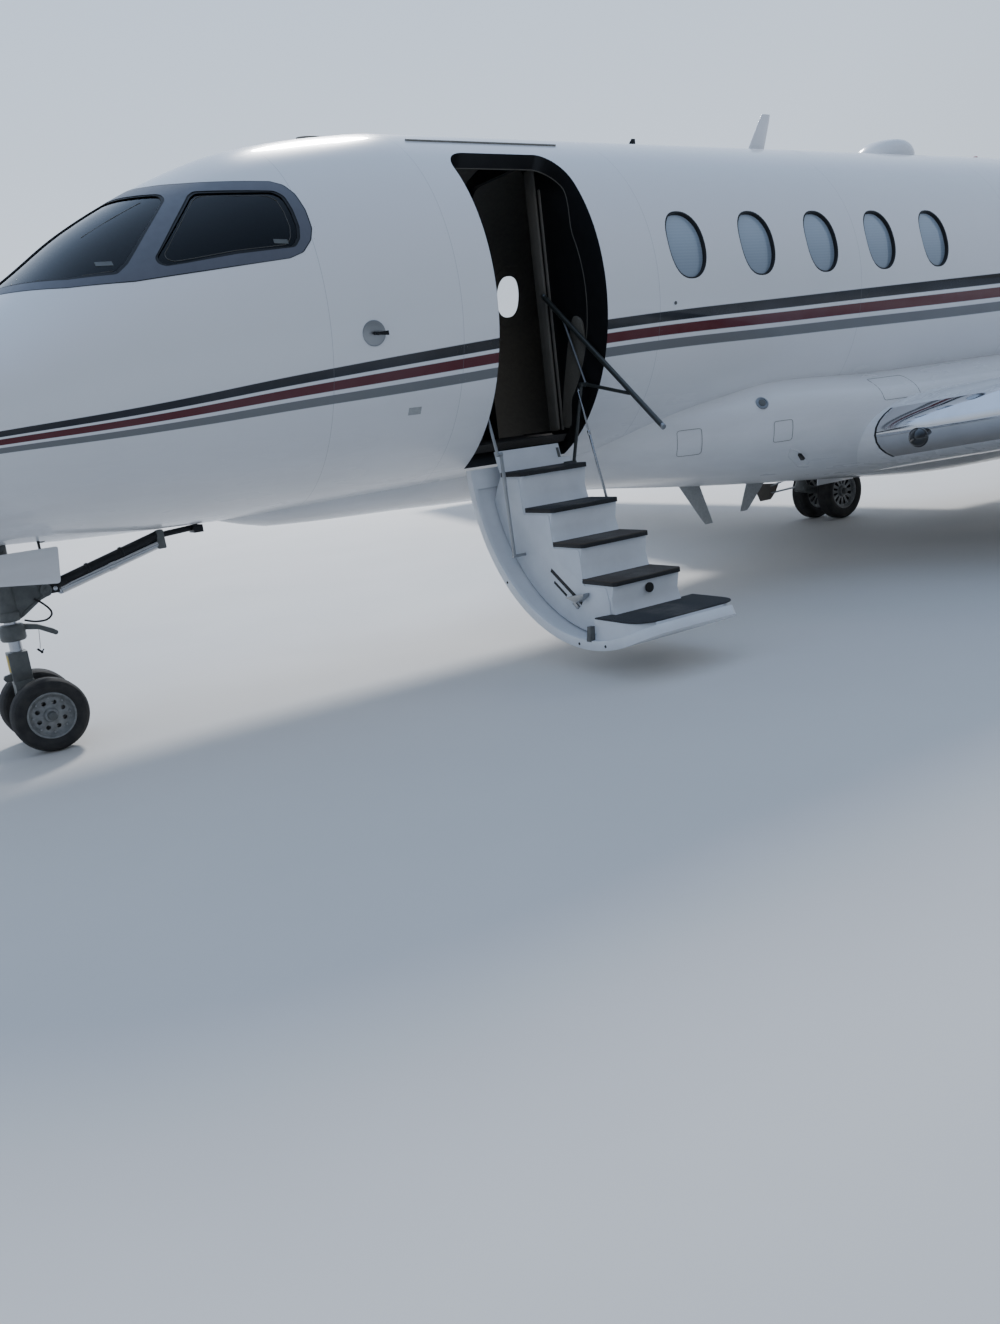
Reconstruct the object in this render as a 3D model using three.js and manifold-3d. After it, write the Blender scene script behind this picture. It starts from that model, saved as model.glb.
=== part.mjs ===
// Twin-jet business aircraft parked on its landing gear with the airstair open.
// Millimetres. +X points to the nose, +Y to port, +Z up; the ground is Z = 0.
import * as THREE from 'three';
import { mergeVertices } from 'three/addons/utils/BufferGeometryUtils.js';
import Module from 'manifold-3d';

const wasm = await Module();
wasm.setup();

// Overall driving dimensions
const LENGTH = 18970;
const SPAN = 22050;
const HEIGHT = 6380;
const NOSE_AHEAD = 4550;
const DOOR_X = LENGTH / 2 - NOSE_AHEAD;
const SEATED = 0.3;

// Fuselage: a circle over the cabin, half ellipses above and below the widest line elsewhere.
// "ahead" is the distance ahead of the doorway's forward edge.
const RADIUS = 1060;
const AXIS_Z = 2116;
const WALL = 85;
const RING_STEPS = 28;
const SECTIONS = [
  { ahead: NOSE_AHEAD, half: 14, top: 1508, mid: 1495, bottom: 1482 },
  { ahead: 4530, half: 85, top: 1570, mid: 1495, bottom: 1420 },
  { ahead: 4440, half: 180, top: 1645, mid: 1500, bottom: 1345 },
  { ahead: 4230, half: 310, top: 1732, mid: 1515, bottom: 1268 },
  { ahead: 3850, half: 465, top: 1860, mid: 1560, bottom: 1195 },
  { ahead: 3400, half: 615, top: 2008, mid: 1630, bottom: 1145 },
  { ahead: 2900, half: 755, top: 2180, mid: 1730, bottom: 1115 },
  { ahead: 2500, half: 845, top: 2335, mid: 1820, bottom: 1095 },
  { ahead: 2342, half: 875, top: 2437, mid: 1860, bottom: 1088 },
  { ahead: 2053, half: 925, top: 2641, mid: 1925, bottom: 1076 },
  { ahead: 1763, half: 965, top: 2802, mid: 1980, bottom: 1068 },
  { ahead: 1468, half: 997, top: 2937, mid: 2025, bottom: 1062 },
  { ahead: 1167, half: 1024, top: 3043, mid: 2065, bottom: 1058 },
  { ahead: 860, half: 1044, top: 3107, mid: 2092, bottom: 1056 },
  { ahead: 543, half: 1055, top: 3150, mid: 2108, bottom: 1056 },
  { ahead: 212, half: RADIUS, top: AXIS_Z + RADIUS, mid: AXIS_Z, bottom: AXIS_Z - RADIUS },
  { ahead: -6900, half: RADIUS, top: AXIS_Z + RADIUS, mid: AXIS_Z, bottom: AXIS_Z - RADIUS },
  { ahead: -8200, half: 1042, top: 3176, mid: 2150, bottom: 1110 },
  { ahead: -9600, half: 935, top: 3165, mid: 2265, bottom: 1330 },
  { ahead: -11000, half: 720, top: 3120, mid: 2425, bottom: 1690 },
  { ahead: -12300, half: 470, top: 3020, mid: 2560, bottom: 2070 },
  { ahead: -13300, half: 250, top: 2880, mid: 2620, bottom: 2350 },
  { ahead: -13700, half: 110, top: 2780, mid: 2640, bottom: 2500 },
];
const NOSE_JOINT = 3000;
const FORWARD_JOINT = -1200;
const AFT_JOINT = -6900;
const TAIL_WALL = 26;

// Doorway and airstair. Angles are on the fuselage circle, from port, upwards.
const DOOR_LENGTH = 784;
const DOOR_TOP_DEG = 52;
const DOOR_FOOT_DEG = -63.3;
const DOOR_CORNER = 190;
const DOOR_GAP = 6;
const DOOR_SKIN = 55;
const DOOR_OPEN_DEG = 114.5;
const HINGE = { y: 480, z: 1160 };
const SILL_Z = 1298;
const SILL_Y = 540;

// Cabin windows
const WINDOW_FIRST = -1460;
const WINDOW_PITCH = 626;
const WINDOW_STEPS = [0, 1, 2, 3, 4, 6];
const WINDOW_Z = 2353;
const WINDOW_HALF = { x: 155, z: 205 };

// Wing
const WING_ROOT_Y = 1150;
const WING_TIP_Y = SPAN / 2;
const WING_ROOT = { ahead: -2990, chord: 3400, z: 1005, thick: 0.16 };
const WING_TIP = { ahead: -5880, chord: 1250, z: 1880, thick: 0.1 };
const WING_INBOARD_Y = 700;
const FLAP = { inner: 1750, outer: 6900, share: 0.74 };
const AILERON = { inner: 7000, outer: 10450, share: 0.76 };
const END_GAP = 14;
const NOSE_GAP = 8;
const HINGE_SIDES = 16;
const PIN_RADIUS = 11;
const PIN_POINT = 10;
const PIN_TIP = 0.5;

// Engines
const ENGINE = { ahead: -8000, y: 1760, z: 2690, length: 3250, radius: 585 };

// Landing gear
const NOSE_GEAR = { ahead: 2660, axleAhead: 2590, tyre: 198, rim: 118, width: 140, y: 175 };
const MAIN_GEAR = { ahead: -5190, axleAhead: -5574, tyre: 280, rim: 168, width: 165, y: 1420, twin: 165 };
const WHEEL_SIDES = 16;

// Finishes
const FINISH = {
  white: [0xe8ebee, 0.25, 0],
  interior: [0x3a3733, 0.8, 0],
  metal: [0xb9bdc1, 0.3, 0.9],
  dark_metal: [0x33373b, 0.5, 0.6],
  glass: [0x10161c, 0.08, 0],
  tyre: [0x191a1b, 0.85, 0],
  grey: [0x777d82, 0.5, 0.3],
};

const x = (ahead) => DOOR_X + ahead;
const rad = THREE.MathUtils.degToRad;
const part = new THREE.Group();
const openStair = new THREE.Group();
openStair.position.set(0, HINGE.y, HINGE.z);
openStair.rotation.x = -rad(DOOR_OPEN_DEG);
part.add(openStair);

// Solids and booleans

function toSolid(geometry) {
  const g = geometry.index ? geometry.clone() : geometry;
  g.deleteAttribute('normal');
  g.deleteAttribute('uv');
  const merged = mergeVertices(g, 1e-3);
  const mesh = new wasm.Mesh({
    numProp: 3,
    vertProperties: new Float32Array(merged.attributes.position.array),
    triVerts: new Uint32Array(merged.index.array),
  });
  return new wasm.Manifold(mesh);
}

function toGeometry(solid) {
  const mesh = solid.getMesh();
  const g = new THREE.BufferGeometry();
  g.setAttribute('position', new THREE.BufferAttribute(new Float32Array(mesh.vertProperties), 3));
  g.setIndex(new THREE.BufferAttribute(new Uint32Array(mesh.triVerts), 1));
  g.computeVertexNormals();
  return g;
}

function addPiece(name, finish, solid, parent = part) {
  const [color, roughness, metalness] = FINISH[finish];
  const material = new THREE.MeshStandardMaterial({ color, roughness, metalness });
  const mesh = new THREE.Mesh(toGeometry(solid), material);
  mesh.name = name;
  parent.add(mesh);
  return mesh;
}

const join = (solids) => solids.reduce((a, b) => a.add(b));

// A skin through closed rings of points, with a flat cap at each end.
function loft(rings) {
  const n = rings[0].length;
  const points = rings.flat();
  const faces = [];
  for (let r = 0; r + 1 < rings.length; r += 1) {
    for (let i = 0; i < n; i += 1) {
      const a = r * n + i;
      const b = r * n + ((i + 1) % n);
      faces.push(a, b, b + n, a, b + n, a + n);
    }
  }
  for (const [ring, turn] of [[0, 1], [rings.length - 1, 0]]) {
    const centre = new THREE.Vector3();
    rings[ring].forEach((p) => centre.add(new THREE.Vector3(...p)));
    points.push(centre.divideScalar(n).toArray());
    const hub = points.length - 1;
    for (let i = 0; i < n; i += 1) {
      const a = ring * n + i;
      const b = ring * n + ((i + 1) % n);
      if (turn) faces.push(b, a, hub);
      else faces.push(a, b, hub);
    }
  }
  const g = new THREE.BufferGeometry();
  g.setAttribute('position', new THREE.Float32BufferAttribute(points.flat(), 3));
  g.setIndex(faces);
  return toSolid(signedVolume(points, faces) < 0 ? flipped(g) : g);
}

function signedVolume(points, faces) {
  let sum = 0;
  for (let i = 0; i < faces.length; i += 3) {
    const [a, b, c] = [0, 1, 2].map((k) => new THREE.Vector3(...points[faces[i + k]]));
    sum += a.dot(b.cross(c));
  }
  return sum;
}

function flipped(g) {
  const index = g.index.array;
  for (let i = 0; i < index.length; i += 3) {
    [index[i], index[i + 1]] = [index[i + 1], index[i]];
  }
  return g;
}

function box(x0, x1, y0, y1, z0, z1) {
  const g = new THREE.BoxGeometry(x1 - x0, y1 - y0, z1 - z0);
  return toSolid(g.translate((x0 + x1) / 2, (y0 + y1) / 2, (z0 + z1) / 2));
}

// A round bar between two points, tapered where the radii differ.
function bar(from, to, radius, radiusEnd = radius, sides = 12) {
  const a = new THREE.Vector3(...from);
  const b = new THREE.Vector3(...to);
  const g = new THREE.CylinderGeometry(radiusEnd, radius, a.distanceTo(b), sides);
  const turn = new THREE.Quaternion().setFromUnitVectors(
    new THREE.Vector3(0, 1, 0), b.clone().sub(a).normalize());
  g.applyQuaternion(turn);
  const mid = a.add(b).multiplyScalar(0.5);
  return toSolid(g.translate(mid.x, mid.y, mid.z));
}

// Outlines are pairs of numbers: (Y, Z) pushed along X, (X, Z) along Y, (X, Y) along Z.
function prism(axis, outline, from, to) {
  const shape = new THREE.Shape(outline.map(([u, v]) => new THREE.Vector2(u, v)));
  const g = new THREE.ExtrudeGeometry(shape, { depth: to - from, bevelEnabled: false });
  if (axis === 'x') {
    g.translate(0, 0, from);
    g.applyMatrix4(new THREE.Matrix4().set(0, 0, 1, 0, 1, 0, 0, 0, 0, 1, 0, 0, 0, 0, 0, 1));
  } else if (axis === 'y') {
    g.rotateX(Math.PI / 2);
    g.translate(0, to, 0);
  } else {
    g.translate(0, 0, from);
  }
  return toSolid(g);
}

// A turned piece: profile pairs are (radius, distance along the axis).
function turned(profile, sides, axis = 'x') {
  const g = new THREE.LatheGeometry(profile.map(([r, s]) => new THREE.Vector2(r, s)), sides);
  if (axis === 'x') g.rotateZ(-Math.PI / 2);
  if (axis === 'z') g.rotateX(Math.PI / 2);
  const points = [];
  const array = g.attributes.position;
  for (let i = 0; i < array.count; i += 1) points.push([array.getX(i), array.getY(i), array.getZ(i)]);
  return toSolid(signedVolume(points, [...g.index.array]) < 0 ? flipped(g) : g);
}

function ellipse(u, v, halfU, halfV, steps) {
  return Array.from({ length: steps }, (_, i) => {
    const t = (2 * Math.PI * i) / steps;
    return [u + halfU * Math.cos(t), v + halfV * Math.sin(t)];
  });
}

const mirrored = (solid) => solid.mirror([0, 1, 0]);

// Fuselage

function fuselageRing(section, inset) {
  const { half, top, mid, bottom } = section;
  return Array.from({ length: RING_STEPS }, (_, i) => {
    const t = (2 * Math.PI * i) / RING_STEPS;
    const rise = Math.sin(t) > 0 ? top - mid - inset : mid - bottom - inset;
    return [x(section.ahead), (half - inset) * Math.cos(t), mid + rise * Math.sin(t)];
  });
}

function fuselageBody(inset, rows = SECTIONS) {
  const usable = rows.filter((row) => row.half > inset + 20 || inset === 0);
  return loft(usable.map((row) => fuselageRing(row, inset)));
}

const span = (from, to) => box(x(from), x(to), -4000, 4000, 0, 7000);
const outer = fuselageBody(0);
const inner = fuselageBody(WALL);
const innerSeat = fuselageBody(WALL + SEATED);

// The wedge of the fuselage wall that the door fills, between two radii. Its facets keep their
// angles whatever the radii; overhang lets the ends run past the doorway's.
function doorWedge(innerRadius, outerRadius, gap, overhang = 0) {
  const trim = DOOR_GAP / RADIUS;
  const foot = rad(DOOR_FOOT_DEG) + trim;
  const head = rad(DOOR_TOP_DEG) - trim;
  const steps = 16;
  const turns = Array.from({ length: steps + 1 }, (_, i) => foot + ((head - foot) * i) / steps);
  if (gap < DOOR_GAP) {
    turns.unshift(foot - trim - overhang);
    turns.push(head + trim + overhang);
  }
  const arc = (radius) => turns.map((t) => [radius * Math.cos(t), AXIS_Z + radius * Math.sin(t)]);
  const outline = [...arc(outerRadius), ...arc(innerRadius).reverse()];
  const wedge = prism('x', outline, x(-DOOR_LENGTH + gap), x(-gap));
  if (overhang) return wedge;
  const r = DOOR_CORNER - gap;
  const high = AXIS_Z + RADIUS * Math.sin(rad(DOOR_TOP_DEG)) - gap;
  const corner = (cx, sign) => {
    const sweep = Array.from({ length: 7 }, (_, i) => {
      const t = (Math.PI / 2) * (i / 6);
      return [cx + sign * r * Math.sin(t), high - r + r * Math.cos(t)];
    });
    return prism('y', [...sweep, [cx + sign * 400, high - r], [cx + sign * 400, high + 400],
      [cx, high + 400]], 0, 1500);
  };
  return wedge.subtract(corner(x(-gap) - r, 1)).subtract(corner(x(-DOOR_LENGTH + gap) + r, -1));
}

function windowHole(step, grow, y0, y1) {
  const centre = x(WINDOW_FIRST - step * WINDOW_PITCH);
  return prism('y', ellipse(centre, WINDOW_Z, WINDOW_HALF.x + grow, WINDOW_HALF.z + grow, 16), y0, y1);
}

// Cockpit panes, outlines in side view (ahead, Z)
const SIDE_PANE = [[1116, 2403], [1078, 2450], [1063, 2520], [1066, 2630], [1108, 2708], [1290, 2722],
  [1473, 2740], [1508, 2716], [1764, 2421], [1790, 2385], [1753, 2346], [1409, 2385]];
const FRONT_PANE = [[1973, 2328], [1913, 2374], [1606, 2705], [1616, 2750], [1705, 2774], [1790, 2802],
  [2560, 2400], [2440, 2362], [2175, 2328]];
const CENTRE_POST = 65;
const paneCut = (outline, grow, y0) => {
  const centre = outline.reduce((s, p) => [s[0] + p[0] / outline.length, s[1] + p[1] / outline.length],
    [0, 0]);
  const grown = outline.map(([u, v]) => {
    const d = Math.hypot(u - centre[0], v - centre[1]);
    return [x(u + (grow * (u - centre[0])) / d), v + (grow * (v - centre[1])) / d];
  });
  return prism('y', grown, y0, 1300);
};
const both = (solid) => solid.add(mirrored(solid));

const noseWell = box(x(2430), x(2960), -190, 190, 900, 1300);

const noseSection = outer.intersect(span(NOSE_JOINT, NOSE_AHEAD + 10));
addPiece('nose_section', 'white', noseSection);

const doorwayCut = doorWedge(700, 1300, 0);
const forwardFuselage = outer.intersect(span(FORWARD_JOINT, NOSE_JOINT - SEATED))
  .subtract(inner)
  .subtract(doorwayCut)
  .subtract(both(paneCut(SIDE_PANE, 0, 300)))
  .subtract(both(paneCut(FRONT_PANE, 0, CENTRE_POST)))
  .subtract(noseWell);
addPiece('forward_fuselage', 'white', forwardFuselage);

const windowHoles = join(WINDOW_STEPS.map((step) => windowHole(step, 0, -1300, 1300)));
const midFuselage = outer.intersect(span(AFT_JOINT, FORWARD_JOINT - SEATED))
  .subtract(inner)
  .subtract(windowHoles);
addPiece('mid_fuselage', 'white', midFuselage);

const tailHollow = fuselageBody(TAIL_WALL, SECTIONS.filter((row) => row.ahead < -6000))
  .intersect(span(-13250, AFT_JOINT - 45));
const tailVent = bar([x(-11800), 0, 1000], [x(-11800), 0, 2400], 90);
const tailCone = outer.intersect(span(-13710, AFT_JOINT - SEATED)).subtract(tailHollow).subtract(tailVent);
addPiece('tail_cone', 'white', tailCone);

// The stair's width, and the plate that rises from its top tread to the sill: its outer face from the
// foot up, its thickness, and the slot in the floor that takes its upper edge when the door is shut
const STAIR = { from: -630, to: -140 };
const TOP_RISER = { foot: [674, 1118], bend: [650, 1165], head: [628, 1250], thick: 8 };
const TOP_RISER_SLOT = { y: [322, 412], z: [1240, 1310], ends: 15 };

// Cabin floor with its sill in the doorway
const SILL = { under: 1252, slope: 46, ends: 9 };
const floorSlab = innerSeat.intersect(box(x(-6850), x(2930), -1000, 1000, 1200, SILL_Z));
const sill = prism('x', [[380, SILL_Z], [380, SILL.under], [SILL_Y - SILL.slope, SILL.under], [SILL_Y, SILL_Z]],
  x(-DOOR_LENGTH + SILL.ends), x(-SILL.ends));
const riserSlot = box(x(STAIR.from - TOP_RISER_SLOT.ends), x(STAIR.to + TOP_RISER_SLOT.ends),
  ...TOP_RISER_SLOT.y, ...TOP_RISER_SLOT.z);
const seatTracks = both(box(x(-6750), x(-1000), 240, 280, SILL_Z - 5, SILL_Z + 10));
addPiece('cabin_floor', 'interior', floorSlab.add(sill).subtract(riserSlot).add(seatTracks));

// Bulkhead behind the crew, with its passage, and the partition aft of the doorway
const onFloor = SILL_Z + SEATED;
const bulkheadSlice = innerSeat.intersect(box(x(110), x(150), -1000, 1000, onFloor, 3300));
const passage = box(x(100), x(160), -300, 300, onFloor - 50, 2950);
addPiece('crew_bulkhead', 'interior', bulkheadSlice.subtract(passage));
const partitionSlice = innerSeat.intersect(box(x(-850), x(-810), -1000, 1000, onFloor, 3300));
const aisle = box(x(-860), x(-800), -380, 330, onFloor - 50, 2980);
addPiece('cabin_partition', 'interior', partitionSlice.subtract(aisle));

const galley = innerSeat.intersect(box(x(-790), x(60), -1000, -500, onFloor, 2750));
addPiece('galley_cabinet', 'interior', galley);

// Instrument panel, pedestal and both crew seats, on one base plate
const crewSpace = innerSeat.intersect(box(x(200), x(2400), -1000, 1000, onFloor, 3300));
const seat = (side) => join([
  box(x(620), x(1120), side * 400 - 230, side * 400 + 230, 1560, 1700),
  box(x(560), x(680), side * 400 - 220, side * 400 + 220, 1650, 2420),
  box(x(700), x(1000), side * 400 - 120, side * 400 + 120, 1300, 1580),
]);
const cockpit = join([
  box(x(560), x(2100), -520, 520, onFloor, 1330),
  box(x(1300), x(1900), -130, 130, 1320, 1750),
  box(x(1780), x(1960), -800, 800, 1700, 2180),
  box(x(1850), x(2150), -720, 720, 2100, 2200),
  box(x(1860), x(1950), -420, 420, 1320, 1720),
  seat(1),
  seat(-1),
]).intersect(crewSpace);
addPiece('cockpit_interior', 'interior', cockpit);

// Glass
const paneShell = fuselageBody(10).subtract(fuselageBody(34));
const linerShell = innerSeat.subtract(fuselageBody(WALL + 9));
const plugShell = fuselageBody(14).subtract(fuselageBody(WALL + 9));
for (const [side, place] of [['left', (s) => s], ['right', mirrored]]) {
  addPiece(`windshield_${side}`, 'glass',
    place(paneShell.intersect(paneCut(FRONT_PANE, -SEATED, CENTRE_POST + SEATED))));
  addPiece(`cockpit_side_window_${side}`, 'glass', place(paneShell.intersect(paneCut(SIDE_PANE, -SEATED, 300))));
  const last = WINDOW_FIRST - WINDOW_STEPS.at(-1) * WINDOW_PITCH;
  const belt = box(x(last - 230), x(FORWARD_JOINT - 20), 500, 1300, 2080, 2630);
  const liner = linerShell.intersect(belt);
  const plugs = plugShell.intersect(join(WINDOW_STEPS.map((step) => windowHole(step, -SEATED, 700, 1300))));
  addPiece(`cabin_windows_${side}`, 'glass', place(liner.add(plugs)));
}

// Wing and its movable surfaces

// Half thickness of the aerofoil at a share of the chord
function thickness(share, ratio) {
  const s = share;
  return ratio * 5 * (0.2969 * Math.sqrt(s) - 0.126 * s - 0.3516 * s * s
    + 0.2843 * s ** 3 - 0.1036 * s ** 4);
}

const AEROFOIL = [0, 0.012, 0.05, 0.13, 0.28, 0.5, 0.75, 1];
const SKIN_EXTRA = 2;

function aerofoil(chord, ratio, lead, grow) {
  const upper = AEROFOIL.map((s) => [lead - s * chord, thickness(s, ratio) * chord]);
  const lower = AEROFOIL.slice(1, -1).reverse().map((s) => [lead - s * chord, -thickness(s, ratio) * chord]);
  const blunt = 5 + grow;
  upper[0][0] += grow;
  upper.forEach((p, i) => { if (i > 0) p[1] += grow + SKIN_EXTRA; });
  lower.forEach((p) => { p[1] -= grow + SKIN_EXTRA; });
  return [...upper.slice(0, -1), [upper.at(-1)[0] - grow, blunt], [upper.at(-1)[0] - grow, -blunt], ...lower];
}

function wingAt(y) {
  const t = (y - WING_ROOT_Y) / (WING_TIP_Y - WING_ROOT_Y);
  const mix = (key) => WING_ROOT[key] + t * (WING_TIP[key] - WING_ROOT[key]);
  const chord = mix('chord');
  const [rootDepth, tipDepth] = [WING_ROOT, WING_TIP].map((end) => end.thick * end.chord);
  const thick = (rootDepth + t * (tipDepth - rootDepth)) / chord;
  return { ahead: mix('ahead'), chord, z: mix('z'), thick };
}

function wingBody(grow) {
  const rows = [WING_INBOARD_Y, WING_TIP_Y - 160, WING_TIP_Y - 40, WING_TIP_Y].map((y, i) => {
    const w = wingAt(y);
    const shrink = [1, 1, 0.9, 0.72][i];
    const chord = w.chord * shrink;
    const thick = w.thick * [1, 1, 0.75, 0.25][i];
    return aerofoil(chord, thick, x(w.ahead - (w.chord - chord) * 0.6), grow)
      .map(([px, pz]) => [px, y, w.z + pz]);
  });
  return loft(rows);
}

// The part of the wing behind a surface's forward edge, between two stations
function surfaceCut({ inner: y0, outer: y1, share }, gap) {
  const edge = (y) => {
    const w = wingAt(y);
    return x(w.ahead - w.chord * share) - (share === FLAP.share ? gap : 0);
  };
  const outline = [[edge(y0), y0 + gap], [edge(y1), y1 - gap], [x(-9500), y1 - gap], [x(-9500), y0 + gap]];
  return prism('z', outline, 300, 3000);
}

// A surface that turns about its own round nose on pointed pins, and the room that the fixed part
// leaves for it.
// Ends hold the hinge line's points and the half thickness there; between is the space end to end.
function hinged(body, cut, cutInset, ends, between) {
  const [a, b] = ends.map(({ point }) => new THREE.Vector3(...point));
  const along = b.clone().sub(a).normalize();
  const shift = (p, d) => p.clone().addScaledVector(along, d).toArray();
  const nose = bar(shift(a, -40), shift(b, 40), ends[0].half, ends[1].half, HINGE_SIDES)
    .intersect(between(END_GAP));
  const [pinFrom, pinTo] = [shift(a, PIN_POINT), shift(b, -PIN_POINT)];
  const pin = join([
    bar(pinFrom, pinTo, PIN_RADIUS, PIN_RADIUS, 8),
    bar(shift(a, PIN_TIP), pinFrom, PIN_TIP, PIN_RADIUS, 8),
    bar(pinTo, shift(b, -PIN_TIP), PIN_RADIUS, PIN_TIP, 8),
  ]);
  const [roomA, roomB] = ends.map(({ half }) => (half + NOSE_GAP) / Math.cos(Math.PI / HINGE_SIDES));
  const room = bar(shift(a, -40), shift(b, 40), roomA, roomB, HINGE_SIDES).intersect(between(0));
  return { piece: body.intersect(cutInset).add(nose).add(pin), room: cut.add(room) };
}

// Fairing under the fuselage: half width and lower line, cut clear of the fuselage above
const FAIRING = [
  { ahead: 1450, half: 60, bottom: 1062, top: 1250 },
  { ahead: 1150, half: 230, bottom: 985, top: 1300 },
  { ahead: 200, half: 330, bottom: 950, top: 1350 },
  { ahead: -800, half: 380, bottom: 905, top: 1400 },
  { ahead: -1300, half: 640, bottom: 868, top: 1420 },
  { ahead: -1800, half: 900, bottom: 810, top: 1470 },
  { ahead: -2400, half: 1060, bottom: 745, top: 1540 },
  { ahead: -3500, half: 1160, bottom: 645, top: 1500 },
  { ahead: -4900, half: 1200, bottom: 535, top: 1520 },
  { ahead: -6500, half: 1190, bottom: 520, top: 1540 },
  { ahead: -7600, half: 1080, bottom: 640, top: 1540 },
  { ahead: -8800, half: 800, bottom: 880, top: 1500 },
  { ahead: -9800, half: 380, bottom: 1180, top: 1560 },
  { ahead: -10200, half: 150, bottom: 1380, top: 1620 },
];
const fairingRing = ({ ahead, half, bottom, top }) => Array.from({ length: 24 }, (_, i) => {
  const t = (2 * Math.PI * i) / 24;
  const c = Math.cos(t);
  const s = Math.sin(t);
  const widest = bottom + 0.6 * (top - bottom);
  const rise = s > 0 ? top - widest : widest - bottom;
  const square = 0.72;
  return [x(ahead), half * Math.sign(c) * Math.abs(c) ** square, widest + rise * Math.sign(s)
    * Math.abs(s) ** square];
});
const wellBox = (side) => box(x(-5930), x(-5040), side > 0 ? 1010 : -1800, side > 0 ? 1800 : -1010, 400, 900);
const fuselageClear = fuselageBody(-SEATED);
const wingClear = wingBody(SEATED);
const fairing = loft(FAIRING.map(fairingRing))
  .subtract(fuselageClear)
  .subtract(wingClear.add(mirrored(wingClear)))
  .subtract(wellBox(1).add(wellBox(-1)));
const fairingParts = fairing.decompose().sort((a, b) => b.volume() - a.volume());
addPiece('wing_fairing', 'white', fairingParts[0]);

const wing = wingBody(0).subtract(fuselageClear);
const aileronEnd = (y) => {
  const w = wingAt(y);
  return {
    point: [x(w.ahead - w.chord * AILERON.share), y, w.z],
    half: thickness(AILERON.share, w.thick) * w.chord + SKIN_EXTRA,
  };
};
const aileron = hinged(wing, surfaceCut(AILERON, 0), surfaceCut(AILERON, END_GAP),
  [aileronEnd(AILERON.inner), aileronEnd(AILERON.outer)],
  (gap) => box(-9000, 9000, AILERON.inner + gap, AILERON.outer - gap, 0, 3000));
const fixedWing = wing.subtract(surfaceCut(FLAP, 0)).subtract(aileron.room);
for (const [side, put] of [['left', (s) => s], ['right', mirrored]]) {
  addPiece(`wing_${side}`, 'white', put(fixedWing));
  addPiece(`flap_${side}`, 'white', put(wing.intersect(surfaceCut(FLAP, SEATED))));
  addPiece(`aileron_${side}`, 'white', put(aileron.piece));
}

// Engines: intake and duct, the block of the core with its tail plug, and the fan
const E = ENGINE;
const R = E.radius;
const DUCT = 0.85 * R;
const nacelleProfile = [
  [0.74 * R, 0], [0.79 * R, 45], [0.88 * R, 20], [0.96 * R, -120], [R, -700], [0.99 * R, -1600],
  [0.9 * R, -2500], [0.74 * R, -E.length], [0.71 * R, -E.length], [DUCT, -2200], [DUCT, -500],
  [0.73 * R, -90], [0.74 * R, 0],
];
const coreProfile = [
  [0, -900], [0.36 * R, -900], [0.5 * R, -1200], [0.52 * R, -2300], [0.36 * R, -2900],
  [0.12 * R, -E.length - 60], [0, -E.length - 120],
];
const FAN_FACE = -560;
const BLADES = 16;
const BLADE = DUCT - 134;
const DUCT_SIDES = 28;
function fanSolid() {
  const hub = turned([[0, FAN_FACE + 260], [60, FAN_FACE + 200], [130, FAN_FACE + 40], [150, FAN_FACE - 120],
    [150, FAN_FACE - 200], [55, FAN_FACE - 200], [55, -900 + SEATED], [0, -900 + SEATED]], 14);
  const blades = Array.from({ length: BLADES }, (_, i) => {
    const blade = new THREE.BoxGeometry(90, 14, BLADE);
    blade.translate(0, 0, 120 + BLADE / 2);
    const array = blade.attributes.position;
    for (let k = 0; k < array.count; k += 1) {
      const twist = rad(35 + 25 * (array.getZ(k) / R));
      const [px, py] = [array.getX(k), array.getY(k)];
      array.setXY(k, px * Math.cos(twist) - py * Math.sin(twist), px * Math.sin(twist) + py * Math.cos(twist));
    }
    blade.translate(FAN_FACE - 60, 0, 0);
    blade.rotateX((2 * Math.PI * i) / BLADES);
    return toSolid(blade);
  });
  return join([hub, ...blades]);
}
const vanes = join(Array.from({ length: 6 }, (_, i) => {
  const vane = new THREE.BoxGeometry(260, 16, DUCT);
  vane.translate(-1250, 0, 40 + DUCT / 2);
  vane.rotateX((2 * Math.PI * (i + 0.5)) / 6);
  return toSolid(vane);
}));
const ductFill = (radius, from, to) => turned([[0, to], [radius, to], [radius, from], [0, from]], DUCT_SIDES);
for (const [side, sign] of [['left', 1], ['right', -1]]) {
  const at = [x(E.ahead), sign * E.y, E.z];
  const nacelle = turned(nacelleProfile, DUCT_SIDES).translate(at);
  const pylon = loft([700, E.y].map((y) => {
    const slim = y === 700 ? 1 : 0.92;
    return aerofoil(2300 * slim, 0.1, x(E.ahead - 500), 0).map(([px, pz]) => [px, sign * y, E.z - 60 + pz]);
  }));
  const bore = ductFill(0.92 * R, 300, -E.length - 300).translate(at);
  addPiece(`nacelle_${side}`, 'white', nacelle.add(pylon.subtract(fuselageClear).subtract(bore)));
  const core = turned(coreProfile, 18).add(vanes.intersect(ductFill(DUCT - SEATED, -1000, -1500)));
  addPiece(`engine_core_${side}`, 'dark_metal', core.translate(at));
  addPiece(`fan_${side}`, 'metal', fanSolid().translate(at));
}

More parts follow.
